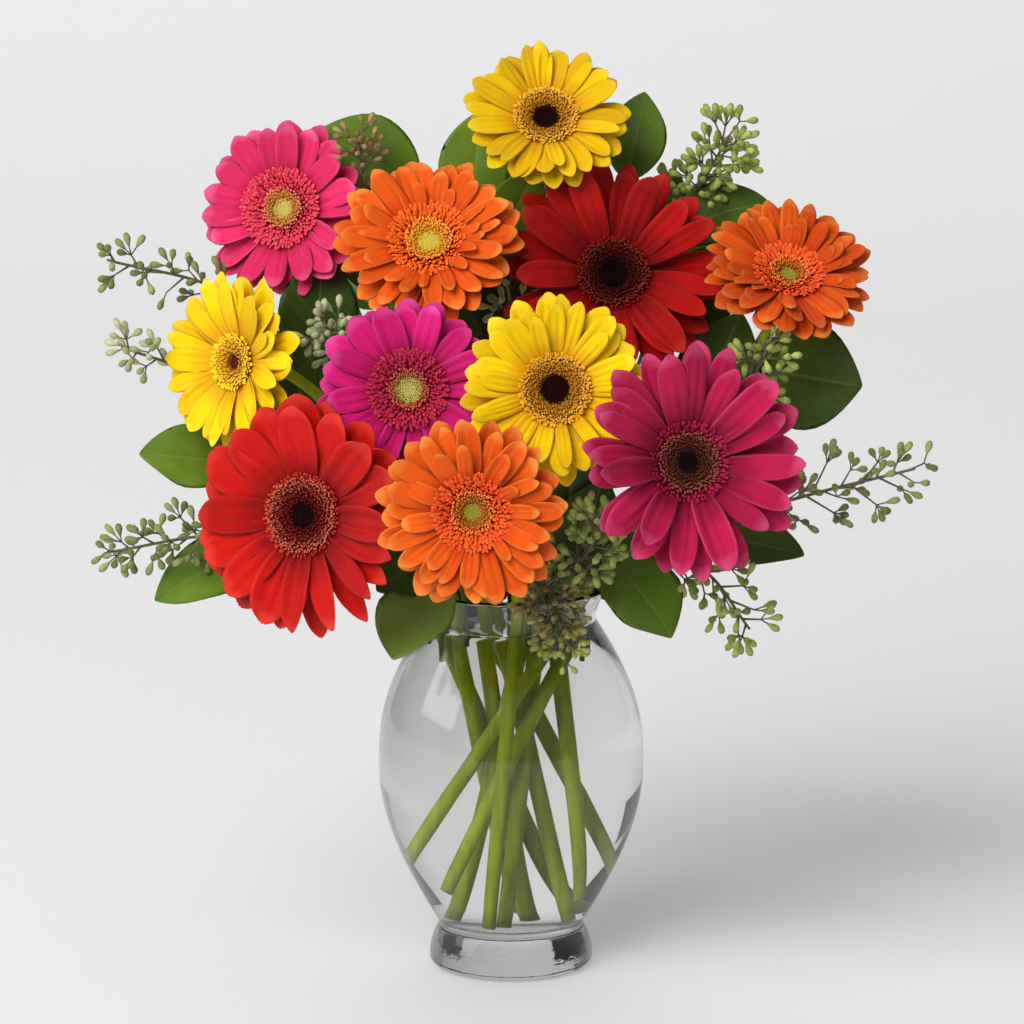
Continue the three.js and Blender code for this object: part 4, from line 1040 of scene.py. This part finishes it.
def make_spray(number, plant):
    """Main twig, side twigs, capsule stalks and capsules as one piece."""
    heap = Heap()
    cut, route = twig_line(plant, 48)
    path = np.vstack([cut, route]) * MM
    fresh = np.clip((VASE_HEIGHT + 20 - path[:, 2] / MM) / 20, 0, 1)
    heap.add(tube(path, np.linspace(TWIG_RADIUS, 0.7, len(path)) * MM, 8), zone=1.0,
             along=fresh[None, :, None])
    count = plant["twigs"]
    k = np.arange(count)
    share = plant["start"] + (1 - plant["start"]) * (k + 0.6 * draw(900 + 40 * number + k)) / count
    run = np.linspace(0, 1, len(route))
    roots = places(share, run, route)
    along = unit(places(share, run, np.gradient(route, axis=0)))
    across, over = frames(along)
    turn = k * GOLDEN_ANGLE + number
    outward = across * np.cos(turn)[:, None] + over * np.sin(turn)[:, None]
    ways = unit(along * 0.8 + outward)
    lengths = plant["reach"] * (0.35 + 0.65 * draw(500 + 40 * number + k)) * (1.15 - 0.5 * k / count)
    tips = roots + ways * lengths[:, None]
    free = is_free(tips) & is_free(roots * 0.5 + tips * 0.5)
    roots, ways, lengths, tips = roots[free], ways[free], lengths[free], tips[free]
    heap.add(spindles(roots * MM, ways, lengths * MM, [(0, 0.6 * MM), (1, 0.42 * MM)]), zone=1.0)
    fan = plant.get("fan", 5)
    each = np.arange(fan)[None, :]
    tip = np.arange(len(tips))
    turns = each * GOLDEN_ANGLE + draw(number + tip)[:, None] * 6
    lean = np.linspace(0.15, 1.0, fan)[None, :] + 0.2 * draw(37 * number + tip)[:, None]
    first, second = frames(ways)
    outward = (first[:, None] * np.cos(turns)[..., None] + second[:, None] * np.sin(turns)[..., None])
    stalks = unit(ways[:, None] * np.cos(lean)[..., None] + np.sin(lean)[..., None] * outward)
    stalks = stalks.reshape(-1, 3)
    starts = np.repeat(tips, fan, axis=0)
    tone = draw(11 * number + 1000 + np.arange(len(starts)))
    keep = tone > BARE_SHARE
    starts, stalks, tone = starts[keep], stalks[keep], tone[keep]
    stalk_length = 1.5 + 4.5 * tone
    thin = [(0, STALK_RADIUS * MM), (1, STALK_RADIUS * MM)]
    heap.add(spindles(starts * MM, stalks, stalk_length * MM, thin), zone=1.0)
    ends = starts + stalks * stalk_length[:, None] * 0.9
    size = plant.get("size", 1.0)
    shape = np.array(CAPSULE) * np.array([1, CAPSULE_RADIUS * MM * size])
    lengths = CAPSULE_LENGTH * size * (0.75 + 0.4 * tone)
    late = np.repeat(share[free], fan)[keep]
    heap.add(spindles(ends * MM, stalks, lengths * MM, shape), along=shape[:, 0][None, :, None],
             tone=tone[:, None, None], across=late[:, None, None])
    slot = "seed_brown" if plant["colour"] in ("brown", "russet") else "seed_sage"
    heap.finish(f"sprigs_{plant['name']}", slot, seed_finishes[plant["colour"]],
                f"seeded_{plant['name']}")


for number, plant in enumerate(SPRAYS):
    make_spray(number, plant)

# %% [markdown]
# ## Glass and water
# The vase is turned from one profile, outside and inside, with a thick solid foot. The water is a
# body of its own that reaches a tenth of a millimetre into the glass, because light has to pass
# from glass to water with no film of air between. Lamps shine through both: a shadow ray sees
# a clear surface, which keeps the shadow pale without tracing caustics.

# %% Vase profile
FOOT_RADIUS = 41.3
WAIST_RADIUS = 36.2
WAIST_HEIGHT = 21
BELLY_RADIUS = 66.8
BELLY_HEIGHT = 104
NECK_RADIUS = 42.2
NECK_HEIGHT = 178
LIP_RADIUS = 48
WALL = 2.8
WATER_HEIGHT = 176
VASE_AROUND = 128


def body_radius(height):
    """Outer radius above the waist: a quarter sine up to the belly, a quarter cosine of the share to
    the power 1.2 up to the neck, and a power of 1.5 out to the lip."""
    low = np.clip((height - WAIST_HEIGHT) / (BELLY_HEIGHT - WAIST_HEIGHT), 0, 1)
    high = np.clip((height - BELLY_HEIGHT) / (NECK_HEIGHT - BELLY_HEIGHT), 0, 1)
    lip = np.clip((height - NECK_HEIGHT) / (VASE_HEIGHT - NECK_HEIGHT), 0, 1)
    lower = WAIST_RADIUS + (BELLY_RADIUS - WAIST_RADIUS) * np.sin(np.pi / 2 * low)
    upper = NECK_RADIUS + (BELLY_RADIUS - NECK_RADIUS) * np.cos(np.pi / 2 * high ** 1.2)
    flare = NECK_RADIUS + (LIP_RADIUS - NECK_RADIUS) * lip ** 1.5
    return np.where(height < BELLY_HEIGHT, lower, np.where(height < NECK_HEIGHT, upper, flare))


def arc(centre, radius, start, end, steps):
    """Points on a circle about (radius, height), from one angle in degrees to another."""
    angle = np.radians(np.linspace(start, end, steps))
    return np.stack([centre[0] + radius * np.cos(angle), centre[1] + radius * np.sin(angle)], axis=-1)


# %% Clear finishes
def clear_finish(name, ior, colour, shade, foot=None):
    """Glass that bends light by its index, and that lets lamps through where it would cast shadow.
    Below the foot's height the glass is thick, so it is greyer and shows the waves of its mould."""
    finish = Finish(name, Roughness=0.0, IOR=ior, Transmission_Weight=1.0, Base_Color=colour,
                    Specular_Tint=(0.5, 0.5, 0.5, 1.0))
    if foot:
        place = finish.node("ShaderNodeTexCoord", output="Object")
        height = finish.node("ShaderNodeSeparateXYZ", values={0: place}, output="Z")
        thick = 1 - height.ramp(foot * 0.75, foot * 1.1)
        waves = finish.noise(200, 1.0, (1, 1, 1.8)) * thick
        finish.feed(Base_Color=finish.mix(colour, (0.5, 0.515, 0.51, 1.0), thick),
                    Normal=finish.bump(waves, 0.5 * MM, 0.5))
    shadow = finish.node("ShaderNodeLightPath", output="Is Shadow Ray")
    through = finish.node("ShaderNodeBsdfTransparent", values={0: (shade, shade, shade, 1.0)})
    shader = Wire(finish, finish.shader.outputs[0])
    mixed = finish.node("ShaderNodeMixShader", values={0: shadow, 1: shader, 2: through})
    finish.tree.links.new(mixed.socket, finish.tree.nodes["Material Output"].inputs["Surface"])
    return finish.material


glass_material = clear_finish("glass", 1.5, (0.9, 0.91, 0.905, 1.0), 0.84, WAIST_HEIGHT * MM)
water_material = clear_finish("water", 1.33, (0.95, 0.96, 0.95, 1.0), 0.94)


# %% Vase and water
FLOOR_RIM = WAIST_RADIUS - WALL - 2
FLOOR = np.array([[0.5, 22.0], [12, 22.2], [FLOOR_RIM - 8, 23.0], [FLOOR_RIM - 2, 24.6],
                  [FLOOR_RIM + 1.2, 27.5]])
WALL_START = 34
OVERLAP = 0.12


def wall(heights, depth):
    """Profile of the vase's body at those heights, at a depth inside its outer face."""
    return np.stack([body_radius(heights) - depth, heights], axis=-1)


def make_vase():
    """One closed skin: underside, foot, body and lip outside, then neck, body and floor inside."""
    outer = np.concatenate([np.linspace(22, NECK_HEIGHT - 8, 42),
                            np.linspace(NECK_HEIGHT - 7, VASE_HEIGHT, 18)])
    inner = np.linspace(VASE_HEIGHT - 1.0, WALL_START, 50)
    foot = np.vstack([[[0.5, 0.0], [20, 0.0]], arc((FOOT_RADIUS - 4.2, 4.2), 4.2, -90, 0, 10)])
    rise = np.linspace(6, 20.5, 10)
    flare = np.cos(np.pi / 2 * ((rise - 4.2) / (WAIST_HEIGHT - 4.2))) ** 0.9
    waist = np.stack([WAIST_RADIUS + 0.1 + (FOOT_RADIUS - WAIST_RADIUS - 0.1) * flare, rise], axis=-1)
    lip = arc((LIP_RADIUS - WALL / 2, VASE_HEIGHT), WALL / 2, 20, 160, 7)
    heap = Heap()
    profile = np.vstack([foot, waist, wall(outer, 0), lip, wall(inner, WALL), FLOOR[::-1]])
    heap.add(turned(profile, VASE_AROUND) * MM)
    heap.finish("glass_vase", "glass", glass_material, "vase")


def make_water():
    """The inside of the vase up to the water line, with the rim of the water drawn up the glass."""
    floor = FLOOR - [0, 0.1]
    floor[-1, 0] += 0.1
    side = wall(np.linspace(WALL_START, WATER_HEIGHT + 0.9, 46), WALL - OVERLAP)
    edge = body_radius(np.array([WATER_HEIGHT]))[0] - WALL
    line = [[edge - 0.8, WATER_HEIGHT + 0.25], [edge - 2.4, WATER_HEIGHT], [0.5, WATER_HEIGHT]]
    heap = Heap()
    heap.add(turned(np.vstack([floor, side, line]), VASE_AROUND) * MM)
    heap.finish("clear_water", "water", water_material, "water")


make_vase()
make_water()

# %% [markdown]
# ## Floor and light
# The floor is a pale sweep that curves up behind, so that no horizon shows. One large soft lamp
# stands at the upper left in front, which puts the broad shadow on the right, and a wide one above
# lights the sweep. Glass shows only what it mirrors or bends into view. So a bright card at the left
# gives the highlight on the belly, and four dark ones behind, which nothing else sees, draw the
# dark edges of the body (the low pair) and the dark blocks in the foot (the high pair).


# %% Sweep
SWEEP_START = -3.0
SWEEP_BEND = 2.0
SWEEP_RADIUS = 2.2
SWEEP_TOP = 4.5
SWEEP_SIDE = 4.0
BELOW_FLOOR = 0.0006


def make_sweep():
    """A strip along Y that bends up by a quarter circle, as one curved sheet."""
    bend = np.radians(np.linspace(0, 90, 24))
    wall_place = SWEEP_BEND + SWEEP_RADIUS
    run = np.concatenate([[SWEEP_START], SWEEP_BEND + SWEEP_RADIUS * np.sin(bend), [wall_place]])
    rise = np.concatenate([[0], SWEEP_RADIUS * (1 - np.cos(bend)), [SWEEP_TOP]]) - BELOW_FLOOR
    points = np.array([(side, y, z) for y, z in zip(run, rise) for side in (-SWEEP_SIDE, SWEEP_SIDE)])
    faces = np.arange(len(run) - 1)[:, None] * 2 + np.array([0, 1, 3, 2])
    grey = (0.762, 0.762, 0.762, 1)
    finish = Finish("sweep", Roughness=0.9, Base_Color=grey, Specular_IOR_Level=0.1)
    sweep = mesh_object("sweep", points, faces, finish.material)
    sweep.data.shade_smooth()
    print("sweep of", len(faces), "quads")


make_sweep()


# %% Lamps and cards
def aim(made, place, target):
    """Sets an object at a place, in metres, with its -Z towards a target."""
    x, y, z = np.array(target, dtype=float) - np.array(place, dtype=float)
    made.location = place
    made.rotation_euler = (math.atan2(math.hypot(x, y), -z), 0, math.atan2(-x, y))


def lamp(name, place, target, size, power):
    """A square soft lamp that looks at a target, with its power in watts."""
    data = bpy.data.lights.new(name, "AREA")
    data.size = size
    data.energy = power
    made = link(name, data)
    aim(made, place, target)
    made.visible_glossy = False
    made.visible_transmission = False
    print(f"lamp {name}: {size} m, {power} W")


def card(name, place, target, width, height, glow):
    """A glowing or dark panel that only mirrors and clear glass see, so it lights nothing."""
    corners = [(width / 2 * across, height / 2 * up, 0)
               for across, up in ((-1, -1), (1, -1), (1, 1), (-1, 1))]
    finish = Finish(name, Base_Color=(0, 0, 0, 1), Specular_IOR_Level=0.0,
                    Emission_Color=(1, 1, 1, 1), Emission_Strength=glow)
    made = mesh_object(name, corners, [(0, 1, 2, 3)], finish.material)
    aim(made, place, target)
    for ray in ("camera", "diffuse", "shadow", "volume_scatter"):
        setattr(made, f"visible_{ray}", False)
    print("card", name, "of", width, "by", height)


lamp("key", (-2.8, -4.2, 4.1), (0, 0, 0.25), 4.4, 470)
lamp("above", (0, 3.0, 3.2), (0, 2.4, 0), 3.0, 30)
card("soft_window", (-2.37, -0.70, 1.12), (-0.03, -0.05, 0.13), 1.8, 0.95, 3.6)
card("low_left", (-1.66, 1.29, 0.0), (0, 0, 0), 1.05, 0.76, 0.08)
card("low_right", (1.78, 1.11, 0.0), (0, 0, 0), 0.89, 0.76, 0.3)
card("high_left", (-1.42, 1.55, 0.9), (0, 0, 0.9), 1.56, 0.8, 0.03)
card("high_right", (1.32, 1.63, 0.97), (0, 0, 0.97), 0.84, 0.74, 0.1)

world = bpy.data.worlds.new("studio")
world.use_nodes = True
background = world.node_tree.nodes["Background"]
background.inputs["Color"].default_value = (1, 1, 1, 1)
background.inputs["Strength"].default_value = 0.34
bpy.context.scene.world = world
